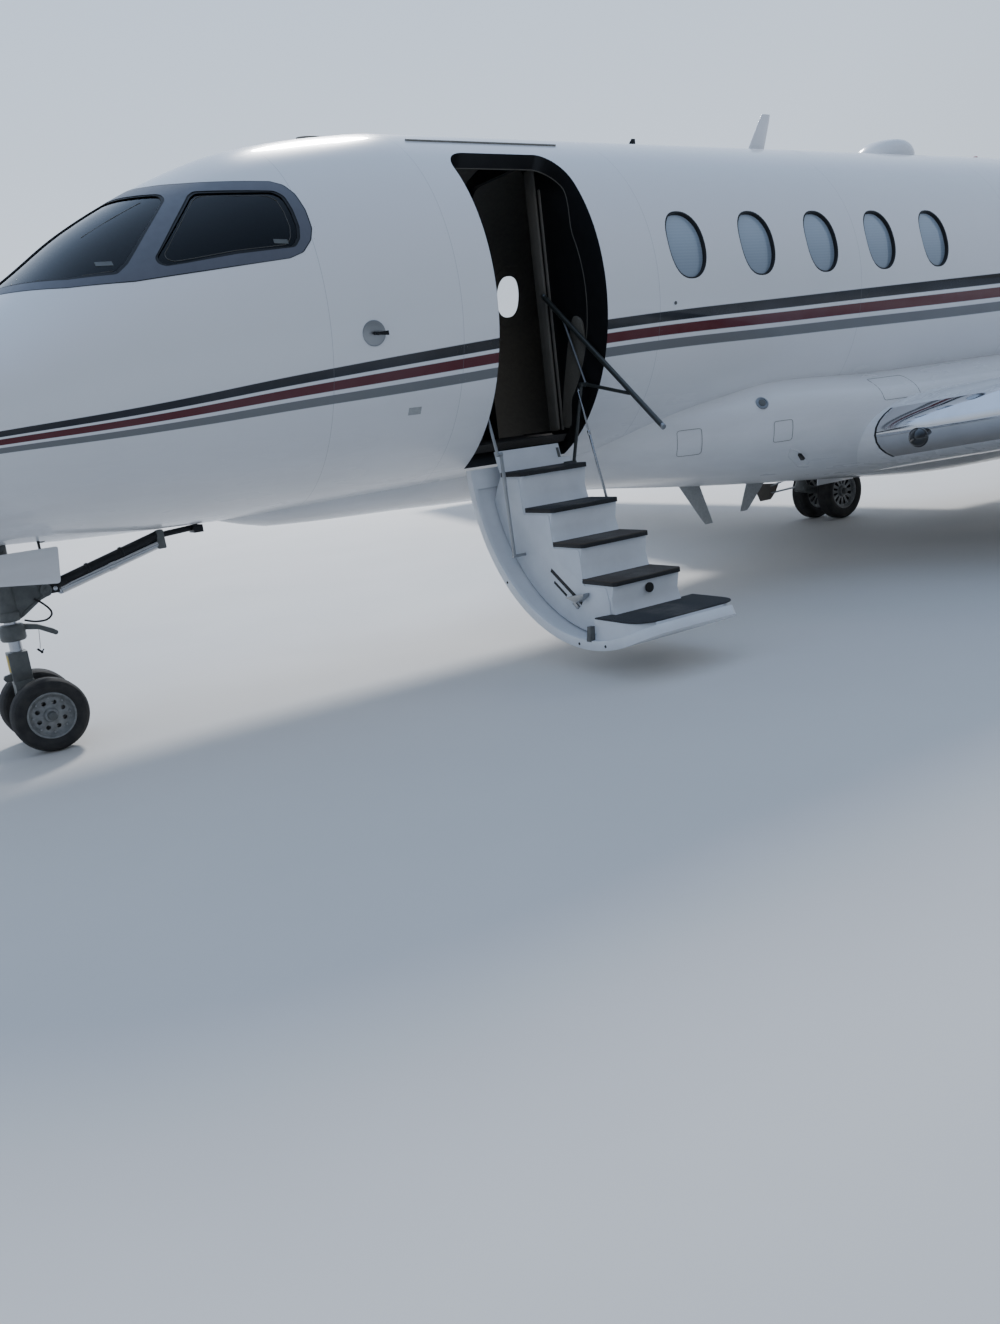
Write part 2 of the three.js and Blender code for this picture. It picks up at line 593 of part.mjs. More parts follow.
// Fin, rudder, tailplane and elevators
const FIN = { root: { ahead: -10500, chord: 3000, z: 2900 }, tip: { ahead: -12640, chord: 1780, z: HEIGHT } };
const FIN_THICK = 0.085;
const finAt = (z) => {
  const t = (z - FIN.root.z) / (FIN.tip.z - FIN.root.z);
  return {
    ahead: FIN.root.ahead + t * (FIN.tip.ahead - FIN.root.ahead),
    chord: FIN.root.chord + t * (FIN.tip.chord - FIN.root.chord),
  };
};
const RUDDER = { low: 4180, high: 6150, share: 0.72 };
const TAIL_THICK = 0.09;
const TAIL = {
  z: 4020, root: { y: 0, ahead: -12080, chord: 1900 }, tip: { y: 3700, ahead: -13120, chord: 1000 },
};
const finBody = (grow) => loft([FIN.root.z, 6230, 6340, FIN.tip.z].map((z, i) => {
  const f = finAt(z);
  const thin = [FIN_THICK, FIN_THICK, 0.07, 0.03][i];
  return aerofoil(f.chord, thin, x(f.ahead), grow).map(([px, py]) => [px, py, z]);
}));
const tailBody = (grow) => loft([-TAIL.tip.y, -TAIL.tip.y + 110, 0, TAIL.tip.y - 110, TAIL.tip.y].map((y, i) => {
  const t = Math.abs(y) / TAIL.tip.y;
  const chord = TAIL.root.chord + t * (TAIL.tip.chord - TAIL.root.chord);
  const lead = TAIL.root.ahead + t * (TAIL.tip.ahead - TAIL.root.ahead);
  const thin = [0.03, TAIL_THICK, TAIL_THICK, TAIL_THICK, 0.03][i];
  return aerofoil(chord, thin, x(lead), grow).map(([px, pz]) => [px, y, TAIL.z + pz]);
}));
const finEdge = (z) => {
  const f = finAt(z);
  return { point: [x(f.ahead - f.chord * RUDDER.share), 0, z], half: thickness(RUDDER.share, FIN_THICK) * f.chord + SKIN_EXTRA };
};
const rudderCut = (gap) => {
  const { low, high } = RUDDER;
  return prism('y', [[finEdge(low).point[0], low + gap], [finEdge(high).point[0], high - gap],
    [x(-15500), high - gap], [x(-15500), low + gap]], -300, 300);
};
const ELEVATOR = { inner: 240, outer: 3520, hingeAhead: -13480 };
const tailAt = (y) => {
  const t = y / TAIL.tip.y;
  return {
    chord: TAIL.root.chord + t * (TAIL.tip.chord - TAIL.root.chord),
    lead: TAIL.root.ahead + t * (TAIL.tip.ahead - TAIL.root.ahead),
  };
};
const tailEdge = (y) => {
  const { chord, lead } = tailAt(y);
  const half = thickness((lead - ELEVATOR.hingeAhead) / chord, TAIL_THICK) * chord + SKIN_EXTRA;
  return { point: [x(ELEVATOR.hingeAhead), y, TAIL.z], half };
};
const elevatorCut = (gap) => {
  const y0 = ELEVATOR.inner + gap;
  const y1 = ELEVATOR.outer - gap;
  const xe = x(ELEVATOR.hingeAhead);
  return prism('z', [[xe, y0], [xe, y1], [x(-15500), y1], [x(-15500), y0]], 3700, 4300);
};
const rudder = hinged(finBody(0), rudderCut(0), rudderCut(END_GAP),
  [finEdge(RUDDER.low), finEdge(RUDDER.high)],
  (gap) => box(-12000, 0, -300, 300, RUDDER.low + gap, RUDDER.high - gap));
// Thin skins: the fin is open below, into the tail cone, and the tailplane at its middle, into the fin
const hollowRing = (chord, lead, thick) => aerofoil(chord * 0.66, thick * 1.32, x(lead - chord * 0.03), -9);
const finHollow = loft([FIN.root.z - 10, RUDDER.high - 60].map((z) => {
  const f = finAt(z);
  return hollowRing(f.chord, f.ahead, FIN_THICK).map(([px, py]) => [px, py, z]);
}));
const stabilizerHollow = loft([-3300, 0, 3300].map((y) => {
  const t = tailAt(Math.abs(y));
  return hollowRing(t.chord, t.lead, TAIL_THICK).map(([px, pz]) => [px, y, TAIL.z + pz]);
})).add(bar([x(-12700), 0, TAIL.z - 150], [x(-12700), 0, TAIL.z], 25));
const fin = finBody(0).subtract(fuselageClear).subtract(rudder.room).subtract(tailBody(SEATED))
  .subtract(finHollow);
addPiece('fin', 'white', fin.decompose().sort((a, b) => b.volume() - a.volume())[0]);
addPiece('rudder', 'white', rudder.piece);
const elevator = hinged(tailBody(0), elevatorCut(0), elevatorCut(END_GAP),
  [tailEdge(ELEVATOR.inner), tailEdge(ELEVATOR.outer)],
  (gap) => box(-12000, 0, ELEVATOR.inner + gap, ELEVATOR.outer - gap, 3000, 5000));
addPiece('tailplane', 'white', tailBody(0).subtract(stabilizerHollow).subtract(elevator.room.add(mirrored(elevator.room))));
addPiece('elevator_left', 'white', elevator.piece);
addPiece('elevator_right', 'white', mirrored(elevator.piece));

// Wheels

function wheelSolid({ tyre, rim, width }, boreRadius) {
  const w = width / 2;
  const profile = [
    [boreRadius, -w * 0.6], [rim * 0.45, -w * 0.6], [rim * 0.9, -w * 0.3],
    [rim, -w * 0.72], [tyre * 0.8, -w], [tyre * 0.95, -w * 0.82], [tyre, -w * 0.35],
    [tyre, w * 0.35], [tyre * 0.95, w * 0.82], [tyre * 0.8, w], [rim, w * 0.72],
    [rim * 0.9, w * 0.3], [rim * 0.45, w * 0.6], [boreRadius, w * 0.6],
  ];
  return turned([...profile, profile[0]], WHEEL_SIDES, 'y');
}

// Nose gear
const G = NOSE_GEAR;
const strutX = x(G.ahead);
const axleX = x(G.axleAhead);
const BRACE_LUG = 230;
addPiece('nose_gear_leg', 'grey', join([
  bar([strutX, 0, 700], [strutX, 0, 1185], 62, 62, 16),
  bar([strutX, -185, 1120], [strutX, 185, 1120], 32),
  box(strutX - 40, strutX + 40, -90, 90, 1040, 1200 - SEATED),
  prism('y', [[strutX - BRACE_LUG, 812], [strutX - BRACE_LUG, 868], [x(2600), 950], [strutX, 950],
    [strutX, 705], [x(2600), 712], [x(2490), 790]], -34, 34),
]));
const pistonTop = 700 - SEATED;
addPiece('nose_gear_fork', 'metal', join([
  bar([strutX, 0, 300], [strutX, 0, pistonTop], 38, 38, 16),
  bar([strutX, 0, 600], [strutX, 0, 688], 66, 66, 16),
  box(x(2612), x(2712), -52, 52, 300, 540),
  prism('y', [[axleX - 45, G.tyre - 40], [strutX + 30, G.tyre - 45], [x(2712), 300], [x(2712), 380],
    [x(2612), 380], [axleX - 45, G.tyre + 50]], -55, 55),
  box(x(2700), x(2755), -15, 15, 385, 420),
  bar([axleX, -G.y - 90, G.tyre], [axleX, G.y + 90, G.tyre], 24),
  prism('y', [[x(2615), 688], [x(2531), 668], [x(2450), 624], [x(2430), 600], [x(2450), 586], [x(2531), 636],
    [x(2615), 650]], -22, 22),
]));
for (const [side, sign] of [['left', 1], ['right', -1]]) {
  addPiece(`nose_wheel_${side}`, 'tyre', wheelSolid(G, 25).translate([axleX, sign * G.y, G.tyre]));
}
addPiece('nose_gear_brace', 'metal', join([
  box(x(2380), strutX - BRACE_LUG - SEATED, -30, 30, 815, 865),
  bar([x(2390), 0, 854], [x(1770), 0, 1036], 40, 40),
  bar([x(2375), 0, 820], [x(1800), 0, 976], 22, 22),
  box(x(1775), x(1815), -30, 30, 960, 1030),
  bar([x(1780), 0, 1034], [x(1560), 0, 1052], 24, 24),
  box(x(1540), x(1620), -60, 60, 1010, 1058),
]).subtract(fuselageClear));
addPiece('nose_gear_door', 'white', prism('x', [[196, 1140], [212, 1140], [262, 880], [246, 880]],
  x(2380), x(2960)).subtract(fuselageClear));

// Main gear: leg from the wing, trailing arm with the axle, shock strut between them
const M = MAIN_GEAR;
for (const [side, sign] of [['left', 1], ['right', -1]]) {
  const y = sign * M.y;
  const legX = x(M.ahead);
  const backX = x(M.axleAhead);
  const leg = join([
    bar([legX, y, 330], [legX, y, 1100], 62, 62, 14),
    bar([legX, y - 120, 960], [legX, y + 120, 960], 40),
    bar([legX, y - 70, 360], [legX, y + 70, 360], 42),
    bar([legX, y, 360], [backX, y, M.tyre], 46, 38),
    bar([backX, y - M.twin - 90, M.tyre], [backX, y + M.twin + 90, M.tyre], 28),
    bar([backX + 90, y, 310], [legX - 30, y, 820], 36),
  ]).subtract(wingClear.add(mirrored(wingClear)));
  const pieces = leg.decompose().sort((a, b) => b.volume() - a.volume());
  addPiece(`main_gear_leg_${side}`, 'grey', pieces[0]);
  for (const [place, offset] of [['inner', -sign], ['outer', sign]]) {
    addPiece(`main_wheel_${side}_${place}`, 'tyre',
      wheelSolid(M, 29).translate([backX, y + offset * M.twin, M.tyre]));
  }
}

// Airstair: the door's own skin, swung down about its lower edge
const closedDoor = doorWedge(RADIUS - DOOR_SKIN, RADIUS, DOOR_GAP)
  .translate([0, -HINGE.y, -HINGE.z]);
addPiece('airstair_shell', 'white', closedDoor, openStair);

const turnOpen = ([y, z]) => {
  const t = -rad(DOOR_OPEN_DEG);
  return [HINGE.y + y * Math.cos(t) - z * Math.sin(t), HINGE.z + y * Math.sin(t) + z * Math.cos(t)];
};
const SKIN_CENTRE = turnOpen([-HINGE.y, AXIS_Z - HINGE.z]);
const TREADS = [
  { back: 674, front: 895, z: 1118 },
  { back: 893, front: 1163, z: 903 },
  { back: 1140, front: 1412, z: 706 },
  { back: 1385, front: 1665, z: 503 },
  { back: 1640, front: 2000, z: 318 },
];
const topRiserOutside = [TOP_RISER.head, TOP_RISER.bend, TOP_RISER.foot];
const topRiserInside = [TOP_RISER.bend, TOP_RISER.head].map(([y, z]) => [y - TOP_RISER.thick, z]);
// Each riser leans back under its tread's nosing and out again to the tread below
const RISER_BEND = { back: 16, share: 0.68 };
const stairTop = [[TOP_RISER.foot[0] - 60, 1030], [666, 1104], ...topRiserInside, ...topRiserOutside];
TREADS.forEach(({ front, z }, i) => {
  const next = TREADS[i + 1];
  stairTop.push([front, z]);
  if (next) {
    stairTop.push([front - RISER_BEND.back, z - RISER_BEND.share * (z - next.z)], [next.back, next.z]);
  } else {
    stairTop.push([front - 12, z - 50]);
  }
});
const stairUnder = Array.from({ length: 15 }, (_, i) => {
  const t = rad(-22 - 10.6 * i);
  return [SKIN_CENTRE[0] + (RADIUS - 10) * Math.cos(t), SKIN_CENTRE[1] + (RADIUS - 10) * Math.sin(t)];
}).filter(([y]) => y > 560 && y < TREADS.at(-1).front);
const opened = (wedge) => wedge.translate([0, -HINGE.y, -HINGE.z])
  .rotate([-DOOR_OPEN_DEG, 0, 0])
  .translate([0, HINGE.y, HINGE.z]);
const openDoorSeat = opened(doorWedge(RADIUS - DOOR_SKIN - SEATED, RADIUS + 200, -8, 0.05));
// The lowest tread fills the door from side to side
const LOW_TREAD_MARGIN = 34;
const lowTread = prism('x', [[1600, 190], [1600, TREADS.at(-1).z], [2000, TREADS.at(-1).z], [2040, 190]],
  x(-DOOR_LENGTH), x(0)).intersect(opened(doorWedge(700, RADIUS, LOW_TREAD_MARGIN)));
const railBracket = box(x(STAIR.from), x(STAIR.from + 22), 650, 712, 1040, 1146);
const steps = prism('x', [...stairTop, ...stairUnder], x(STAIR.from), x(STAIR.to)).add(railBracket)
  .add(lowTread).subtract(openDoorSeat);
addPiece('airstair_steps', 'white', steps.decompose().sort((a, b) => b.volume() - a.volume())[0]);

// Handrail on the aft side and folding stay on the forward side
const RAIL = {
  post: { foot: [660, 1118], head: [815, 1587], ahead: -716 },
  tube: { top: [470, 2160], end: [1490, 1290], brace: [1220, 1500], link: [648, 1994], ahead: -752 },
  rod: { foot: [992, 862], head: [800, 1560], ahead: -695 },
};
const at = (ahead, [y, z]) => [x(ahead), y, z];
addPiece('rail_post', 'dark_metal', join([
  bar(at(RAIL.post.ahead, RAIL.post.foot), at(RAIL.post.ahead, RAIL.post.head), 11),
  bar(at(STAIR.from - SEATED, RAIL.post.foot), at(RAIL.post.ahead - 14, RAIL.post.foot), 12),
]));
addPiece('handrail', 'dark_metal', join([
  bar(at(RAIL.tube.ahead, RAIL.tube.top), at(RAIL.tube.ahead, RAIL.tube.end), 16),
  bar(at(RAIL.tube.ahead, RAIL.post.head), at(RAIL.tube.ahead, RAIL.tube.brace), 13),
  bar(at(RAIL.tube.ahead, RAIL.post.head), at(RAIL.tube.ahead, RAIL.tube.link), 10),
  bar(at(RAIL.tube.ahead - 12, RAIL.post.head), at(RAIL.post.ahead - 11 - SEATED, RAIL.post.head), 14),
]));
addPiece('rail_rod', 'metal', join([
  bar(at(RAIL.rod.ahead, RAIL.rod.foot), at(RAIL.rod.ahead, RAIL.rod.head), 8),
  bar(at(STAIR.from - SEATED, RAIL.rod.foot), at(RAIL.rod.ahead - 8, RAIL.rod.foot), 10),
]));
const STAY = { pivot: [762, 1490], knee: [830, 1240], foot: [850, 630], upper: -30, lower: -54 };
addPiece('stay_upper', 'metal', join([
  bar(at(STAY.upper, STAY.pivot), at(STAY.upper, STAY.knee), 9),
  bar(at(-SEATED, STAY.pivot), at(STAY.upper - 9, STAY.pivot), 9),
]));
addPiece('stay_lower', 'metal', join([
  bar(at(STAY.lower, STAY.knee), at(STAY.lower, STAY.foot), 9),
  bar(at(STAY.lower + 9, STAY.foot), at(STAIR.to + SEATED, STAY.foot), 9),
  bar(at(STAY.upper - 9 - SEATED, STAY.knee), at(STAY.lower - 9, STAY.knee), 10),
]));

// Aerials
const bladeAerial = (root, tip, baseChord, tipChord, thick) => loft([[root, baseChord, thick],
  [tip, tipChord, thick * 0.6]].map(([[ahead, z], chord, t]) => ellipse(x(ahead), 0, chord / 2, t / 2, 12)
  .map(([px, py]) => [px, py, z])));
const crown = AXIS_Z + RADIUS;
addPiece('crown_blade_aerial', 'white', bladeAerial([-3240, crown - 20], [-3400, crown + 290], 190, 100, 26)
  .subtract(fuselageClear));
addPiece('crown_dome_aerial', 'white', turned([[0, 3100], [250, 3100], [240, 3230], [170, 3290], [0, 3312]], 24, 'z')
  .translate([x(-4800), 0, 0]).subtract(fuselageClear));
const fairingClear = fairingParts[0].add(fairingParts[0].translate([0, 0, -SEATED]));
addPiece('belly_aerial_forward', 'white', bladeAerial([-2285, 900], [-2487, 433], 228, 90, 26)
  .subtract(fairingClear));
addPiece('belly_aerial_aft', 'white', bladeAerial([-3080, 850], [-2880, 480], 260, 90, 26)
  .subtract(fairingClear));

export default part;
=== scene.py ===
"""A parked business jet with its airstair open: finishes, fine shapes and a plain stage.

Everything is in metres, in the frame's axes: +X to the nose, +Y to port, +Z up. "ahead" is the
distance ahead of the doorway's forward edge, the point that the photograph was measured from.
"""

import math

import bmesh
import bpy
import numpy as np
from bpy.props import FloatProperty, FloatVectorProperty, IntProperty, PointerProperty
from mathutils import Matrix, Vector


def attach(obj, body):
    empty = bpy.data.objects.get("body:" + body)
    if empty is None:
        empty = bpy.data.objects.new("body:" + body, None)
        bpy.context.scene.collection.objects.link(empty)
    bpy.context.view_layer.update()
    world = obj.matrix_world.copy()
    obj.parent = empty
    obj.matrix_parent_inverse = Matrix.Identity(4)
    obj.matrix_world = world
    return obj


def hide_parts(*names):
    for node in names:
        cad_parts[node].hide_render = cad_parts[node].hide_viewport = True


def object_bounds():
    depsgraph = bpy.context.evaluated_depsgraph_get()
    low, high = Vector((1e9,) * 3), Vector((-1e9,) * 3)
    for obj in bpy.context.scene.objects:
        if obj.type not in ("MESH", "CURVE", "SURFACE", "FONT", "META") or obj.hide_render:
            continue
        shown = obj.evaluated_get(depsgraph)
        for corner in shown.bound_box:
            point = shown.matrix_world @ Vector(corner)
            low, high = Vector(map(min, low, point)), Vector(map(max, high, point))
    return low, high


bl_info = {
    "name": "Parked business jet",
    "version": (1, 0, 0),
    "blender": (4, 5, 0),
    "location": "View3D > Sidebar > Jet",
    "description": "Builds the finishes and fine shapes of a parked business jet",
    "category": "Object",
}

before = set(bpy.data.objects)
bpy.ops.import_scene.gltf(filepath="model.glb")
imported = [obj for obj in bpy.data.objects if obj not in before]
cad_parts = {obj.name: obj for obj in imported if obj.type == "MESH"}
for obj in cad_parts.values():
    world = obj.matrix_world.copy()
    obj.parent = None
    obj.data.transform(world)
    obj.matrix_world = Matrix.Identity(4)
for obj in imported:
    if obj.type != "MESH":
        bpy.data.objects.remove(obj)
CAD_LOW, CAD_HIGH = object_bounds()

# Driving sizes
NOSE_AHEAD = 4.55
DOOR_X = CAD_HIGH.x - NOSE_AHEAD
RADIUS = 1.06
AXIS_Z = 2.116
WALL = 0.085
INSIDE = 0.9745
NOSE_JOINT, FORWARD_JOINT, AFT_JOINT, TAIL_END = 3.0, -1.2, -6.9, -13.7

# Fuselage sections: ahead, half width, crown, widest line, keel
SECTIONS = (
    (4.550, 0.000, 1.495, 1.495, 1.495),
    (4.530, 0.085, 1.570, 1.495, 1.420),
    (4.440, 0.180, 1.645, 1.500, 1.345),
    (4.230, 0.310, 1.732, 1.515, 1.268),
    (3.850, 0.465, 1.860, 1.560, 1.195),
    (3.400, 0.615, 2.008, 1.630, 1.145),
    (2.900, 0.755, 2.180, 1.730, 1.115),
    (2.500, 0.845, 2.335, 1.820, 1.095),
    (2.342, 0.875, 2.437, 1.860, 1.088),
    (2.053, 0.925, 2.641, 1.925, 1.076),
    (1.763, 0.965, 2.802, 1.980, 1.068),
    (1.468, 0.997, 2.937, 2.025, 1.062),
    (1.167, 1.024, 3.043, 2.065, 1.058),
    (0.860, 1.044, 3.107, 2.092, 1.056),
    (0.543, 1.055, 3.150, 2.108, 1.056),
    (0.212, RADIUS, AXIS_Z + RADIUS, AXIS_Z, AXIS_Z - RADIUS),
    (-6.900, RADIUS, AXIS_Z + RADIUS, AXIS_Z, AXIS_Z - RADIUS),
    (-8.200, 1.042, 3.176, 2.150, 1.110),
    (-9.600, 0.935, 3.165, 2.265, 1.330),
    (-11.000, 0.720, 3.120, 2.425, 1.690),
    (-12.300, 0.470, 3.020, 2.560, 2.070),
    (-13.300, 0.250, 2.880, 2.620, 2.350),
    (-13.700, 0.110, 2.780, 2.640, 2.500),
)
RING_STEPS = 144

# Doorway: forward and aft edges ahead, foot and head angles on the fuselage circle
DOOR = {"fore": 0.0, "aft": -0.784, "foot": -63.3, "head": 52.0}
DOOR_CORNERS = {"fore": (0.15, 0.17), "aft": (0.135, 0.28)}
DOOR_OPEN = math.radians(114.5)
DOOR_HINGE = (0.480, 1.160)
SILL_Z = 1.298

# Cabin windows
WINDOW_FIRST, WINDOW_PITCH, WINDOW_STEPS = -1.48, 0.626, (0, 1, 2, 3, 4, 6)
WINDOW_ANGLE, WINDOW_HALF_X, WINDOW_HALF_DEG = 13.5, 0.155, 11.7

SIDES = (("left", 1), ("right", -1))


def at(ahead):
    """X in the frame of a distance ahead of the doorway's forward edge."""
    return DOOR_X + ahead


def spots(points):
    """Distances ahead and heights as X and Z."""
    return [(at(ahead), z) for ahead, z in points]


def around(steps):
    """Evenly spread angles of a full turn."""
    return np.linspace(0, 2 * math.pi, steps + 1)[:-1]


# Curves through tables


def smooth_curve(stations, values):
    """A smooth function through the points that never overshoots them; stations rise."""
    xs, ys = np.array(stations, float), np.array(values, float)
    h = np.diff(xs)
    d = np.diff(ys) / h
    m = np.zeros(len(xs))
    m[0], m[-1] = d[0], d[-1]
    for i in range(1, len(xs) - 1):
        if d[i - 1] * d[i] > 0:
            w1, w2 = 2 * h[i] + h[i - 1], h[i] + 2 * h[i - 1]
            m[i] = (w1 + w2) / (w1 / d[i - 1] + w2 / d[i])

    def value(at_station):
        q = np.clip(np.asarray(at_station, float), xs[0], xs[-1])
        i = np.clip(np.searchsorted(xs, q) - 1, 0, len(xs) - 2)
        t = (q - xs[i]) / h[i]
        return (ys[i] * (1 + 2 * t) * (1 - t) ** 2 + m[i] * h[i] * t * (1 - t) ** 2 + ys[i + 1] * t * t
                * (3 - 2 * t) + m[i + 1] * h[i] * t * t * (t - 1))

    return value


TIP_ROOT = [math.sqrt(NOSE_AHEAD - row[0]) for row in SECTIONS]
HULL = [smooth_curve(TIP_ROOT, [row[k] for row in SECTIONS]) for k in (1, 2, 3, 4)]


def hull_section(ahead):
    """Half width, crown, widest line and keel at a station or an array of stations."""
    s = np.sqrt(np.clip(NOSE_AHEAD - np.asarray(ahead, float), 0, None))
    return [f(s) for f in HULL]


def hull_point(ahead, turn, inset=0.0):
    """A point on the fuselage skin; turn is the angle from port, upwards."""
    half, top, mid, bottom = hull_section(ahead)
    rise = (top - mid if math.sin(turn) > 0 else mid - bottom) - inset
    return (at(ahead), float((half - inset) * math.cos(turn)), float(mid + rise * math.sin(turn)))


def hull_spot(ahead, z, inset=0.0):
    """The point of the port skin at a station and a height."""
    _, top, mid, bottom = (float(v) for v in hull_section(ahead))
    rise = top - mid if z > mid else mid - bottom
    return hull_point(ahead, math.asin(max(-1.0, min(1.0, (z - mid) / rise))), inset)


def hull_ring(ahead, inset=0.0, steps=RING_STEPS):
    """One ring of the fuselage skin."""
    return [hull_point(ahead, 2 * math.pi * i / steps, inset) for i in range(steps)]


def hull_gradient(points):
    """Outward directions of the fuselage skin at points near it, as an array."""
    p = np.asarray(points, float)
    ahead = p[:, 0] - DOOR_X

    def level(station):
        half, top, mid, bottom = hull_section(station)
        half = np.maximum(half, 0.01)
        dz = p[:, 2] - mid
        rise = np.maximum(np.where(dz > 0, top - mid, mid - bottom), 0.01)
        return (p[:, 1] / half) ** 2 + (dz / rise) ** 2, half, dz, rise

    step = 0.01
    _, half, dz, rise = level(ahead)
    slope = (level(ahead + step)[0] - level(ahead - step)[0]) / (2 * step)
    n = np.stack([slope, 2 * p[:, 1] / half**2, 2 * dz / rise**2], axis=1)
    return n / np.maximum(np.linalg.norm(n, axis=1, keepdims=True), 1e-9)


# Shapes


class Shape:
    """Points and faces of a piece in the making. A face's kind is its finish's place in the list."""

    def __init__(self):
        self.points, self.faces, self.kinds = [], [], []

    def add(self, points, faces, kind=0):
        """Adds points and faces that count from the first of those points."""
        start = len(self.points)
        self.points += [tuple(float(c) for c in p) for p in points]
        self.faces += [tuple(start + i for i in face) for face in faces]
        self.kinds += [kind] * len(faces)
        return self

    def rings(self, rings, kind=0, looped=False):
        """Skin through rings of equal length, capped at both ends or joined end to start."""
        n, m = len(rings[0]), len(rings)
        faces = []
        for r in range(m if looped else m - 1):
            a, b = r * n, ((r + 1) % m) * n
            faces += [(a + i, a + (i + 1) % n, b + (i + 1) % n, b + i) for i in range(n)]
        if not looped:
            faces += [tuple(range(n - 1, -1, -1)), tuple(range((m - 1) * n, m * n))]
        return self.add([p for ring in rings for p in ring], faces, kind)

    def turned(self, profile, centre, axis=(1, 0, 0), steps=48, kind=0):
        """A turned form. Profile pairs are radius and distance along the axis, and it closes on itself
        or starts and ends on the axis."""
        way = Vector(axis).normalized()
        side = way.orthogonal().normalized()
        up = way.cross(side)
        looped = profile[0][0] > 1e-6 or profile[-1][0] > 1e-6
        rings = []
        for radius, along in profile:
            middle = Vector(centre) + way * along
            turns = [2 * math.pi * i / steps for i in range(steps)]
            rings.append([middle + (side * math.cos(t) + up * math.sin(t)) * radius for t in turns])
        return self.rings(rings, kind, looped)

    def tube(self, path, radius, sides=14, kind=0, flat=1.0):
        """A round or flattened bar along points; radius may be a list, one for each point."""
        pts = [Vector(p) for p in path]
        radii = radius if isinstance(radius, (list, tuple)) else [radius] * len(pts)
        side = None
        rings = []
        for i, p in enumerate(pts):
            way = (pts[min(i + 1, len(pts) - 1)] - pts[max(i - 1, 0)]).normalized()
            side = way.orthogonal() if side is None else side - way * side.dot(way)
            side.normalize()
            up = way.cross(side)
            turns = [2 * math.pi * k / sides for k in range(sides)]
            rings.append([p + (side * math.cos(t) + up * math.sin(t) * flat) * radii[i] for t in turns])
        return self.rings(rings, kind)

    def bars(self, *rows):
        """Straight round bars: both ends, radius and sides in each row."""
        for a, b, radius, sides in rows:
            self.tube([a, b], radius, sides)
        return self

    def box(self, low, high, kind=0):
        """A box between two corners."""
        x0, y0, z0 = low
        x1, y1, z1 = high
        rings = [[(x, y0, z0), (x, y1, z0), (x, y1, z1), (x, y0, z1)] for x in (x0, x1)]
        return self.rings(rings, kind)

    def prism(self, axis, outline, low, high, kind=0):
        """An outline of pairs, in the two other axes in order, pushed along an axis."""
        place = {
            "x": lambda u, v, w: (w, u, v),
            "y": lambda u, v, w: (u, w, v),
            "z": lambda u, v, w: (u, v, w),
        }[axis]
        return self.rings([[place(u, v, w) for u, v in outline] for w in (low, high)], kind)

    def join(self, other):
        """Takes in another shape."""
        start = len(self.points)
        self.points += other.points
        self.faces += [tuple(start + i for i in face) for face in other.faces]
        self.kinds += other.kinds
        return self


def rounded(outline, radius, steps=6):
    """An outline with round corners; radius may be a list, one for each corner."""
    n = len(outline)
    radii = radius if isinstance(radius, (list, tuple)) else [radius] * n
    found = []
    for i, corner in enumerate(outline):
        p, q = Vector(outline[i - 1]), Vector(outline[(i + 1) % n])
        c = Vector(corner)
        a, b = (p - c).normalized(), (q - c).normalized()
        half = a.angle(b, math.pi) / 2
        reach = min(radii[i] / max(math.tan(half), 1e-3), (p - c).length / 2, (q - c).length / 2)
        if half > math.radians(88) or reach < 1e-5:
            found.append(tuple(c))
            continue
        start, end = c + a * reach, c + b * reach
        for k in range(steps + 1):
            t = k / steps
            found.append(tuple(start * (1 - t) ** 2 + c * (2 * t * (1 - t)) + end * t * t))
    return found


def pin(x0, x1, spot, radius, sides=18):
    """A row for Shape.bars: a bar along X through a point given by Y and Z."""
    return (x0, *spot), (x1, *spot), radius, sides


def cross(x, z, half, radius, sides, y=0.0):
    """A row for Shape.bars: a bar along Y, a half length to either side of a middle."""
    return (x, y - half, z), (x, y + half, z), radius, sides


def curve_points(points, steps):
    """A smooth path through given points."""
    pts = [Vector(p) for p in points]
    ends = [pts[0] * 2 - pts[1], *pts, pts[-1] * 2 - pts[-2]]
    path = []
    for a, b, c, d in zip(ends, ends[1:], ends[2:], ends[3:]):
        for k in range(steps):
            t = k / steps
            path.append(0.5 * (2 * b + (c - a) * t + (2 * a - 5 * b + 4 * c - d) * t**2
                               + (3 * b - a - 3 * c + d) * t**3))
    return [*path, pts[-1]]


# Objects


def settle(obj):
    """Makes an object's modifiers part of its mesh."""
    bpy.context.view_layer.update()
    made = bpy.data.meshes.new_from_object(obj.evaluated_get(bpy.context.evaluated_depsgraph_get()))
    old, obj.data = obj.data, made
    obj.modifiers.clear()
    bpy.data.meshes.remove(old)
    return obj


def shade(obj, angle=34.0):
    """Smooth shading with sharp edges past an angle in degrees."""
    mesh = obj.data
    mesh.polygons.foreach_set("use_smooth", [True] * len(mesh.polygons))
    mesh.set_sharp_from_angle(angle=math.radians(angle))
    return obj


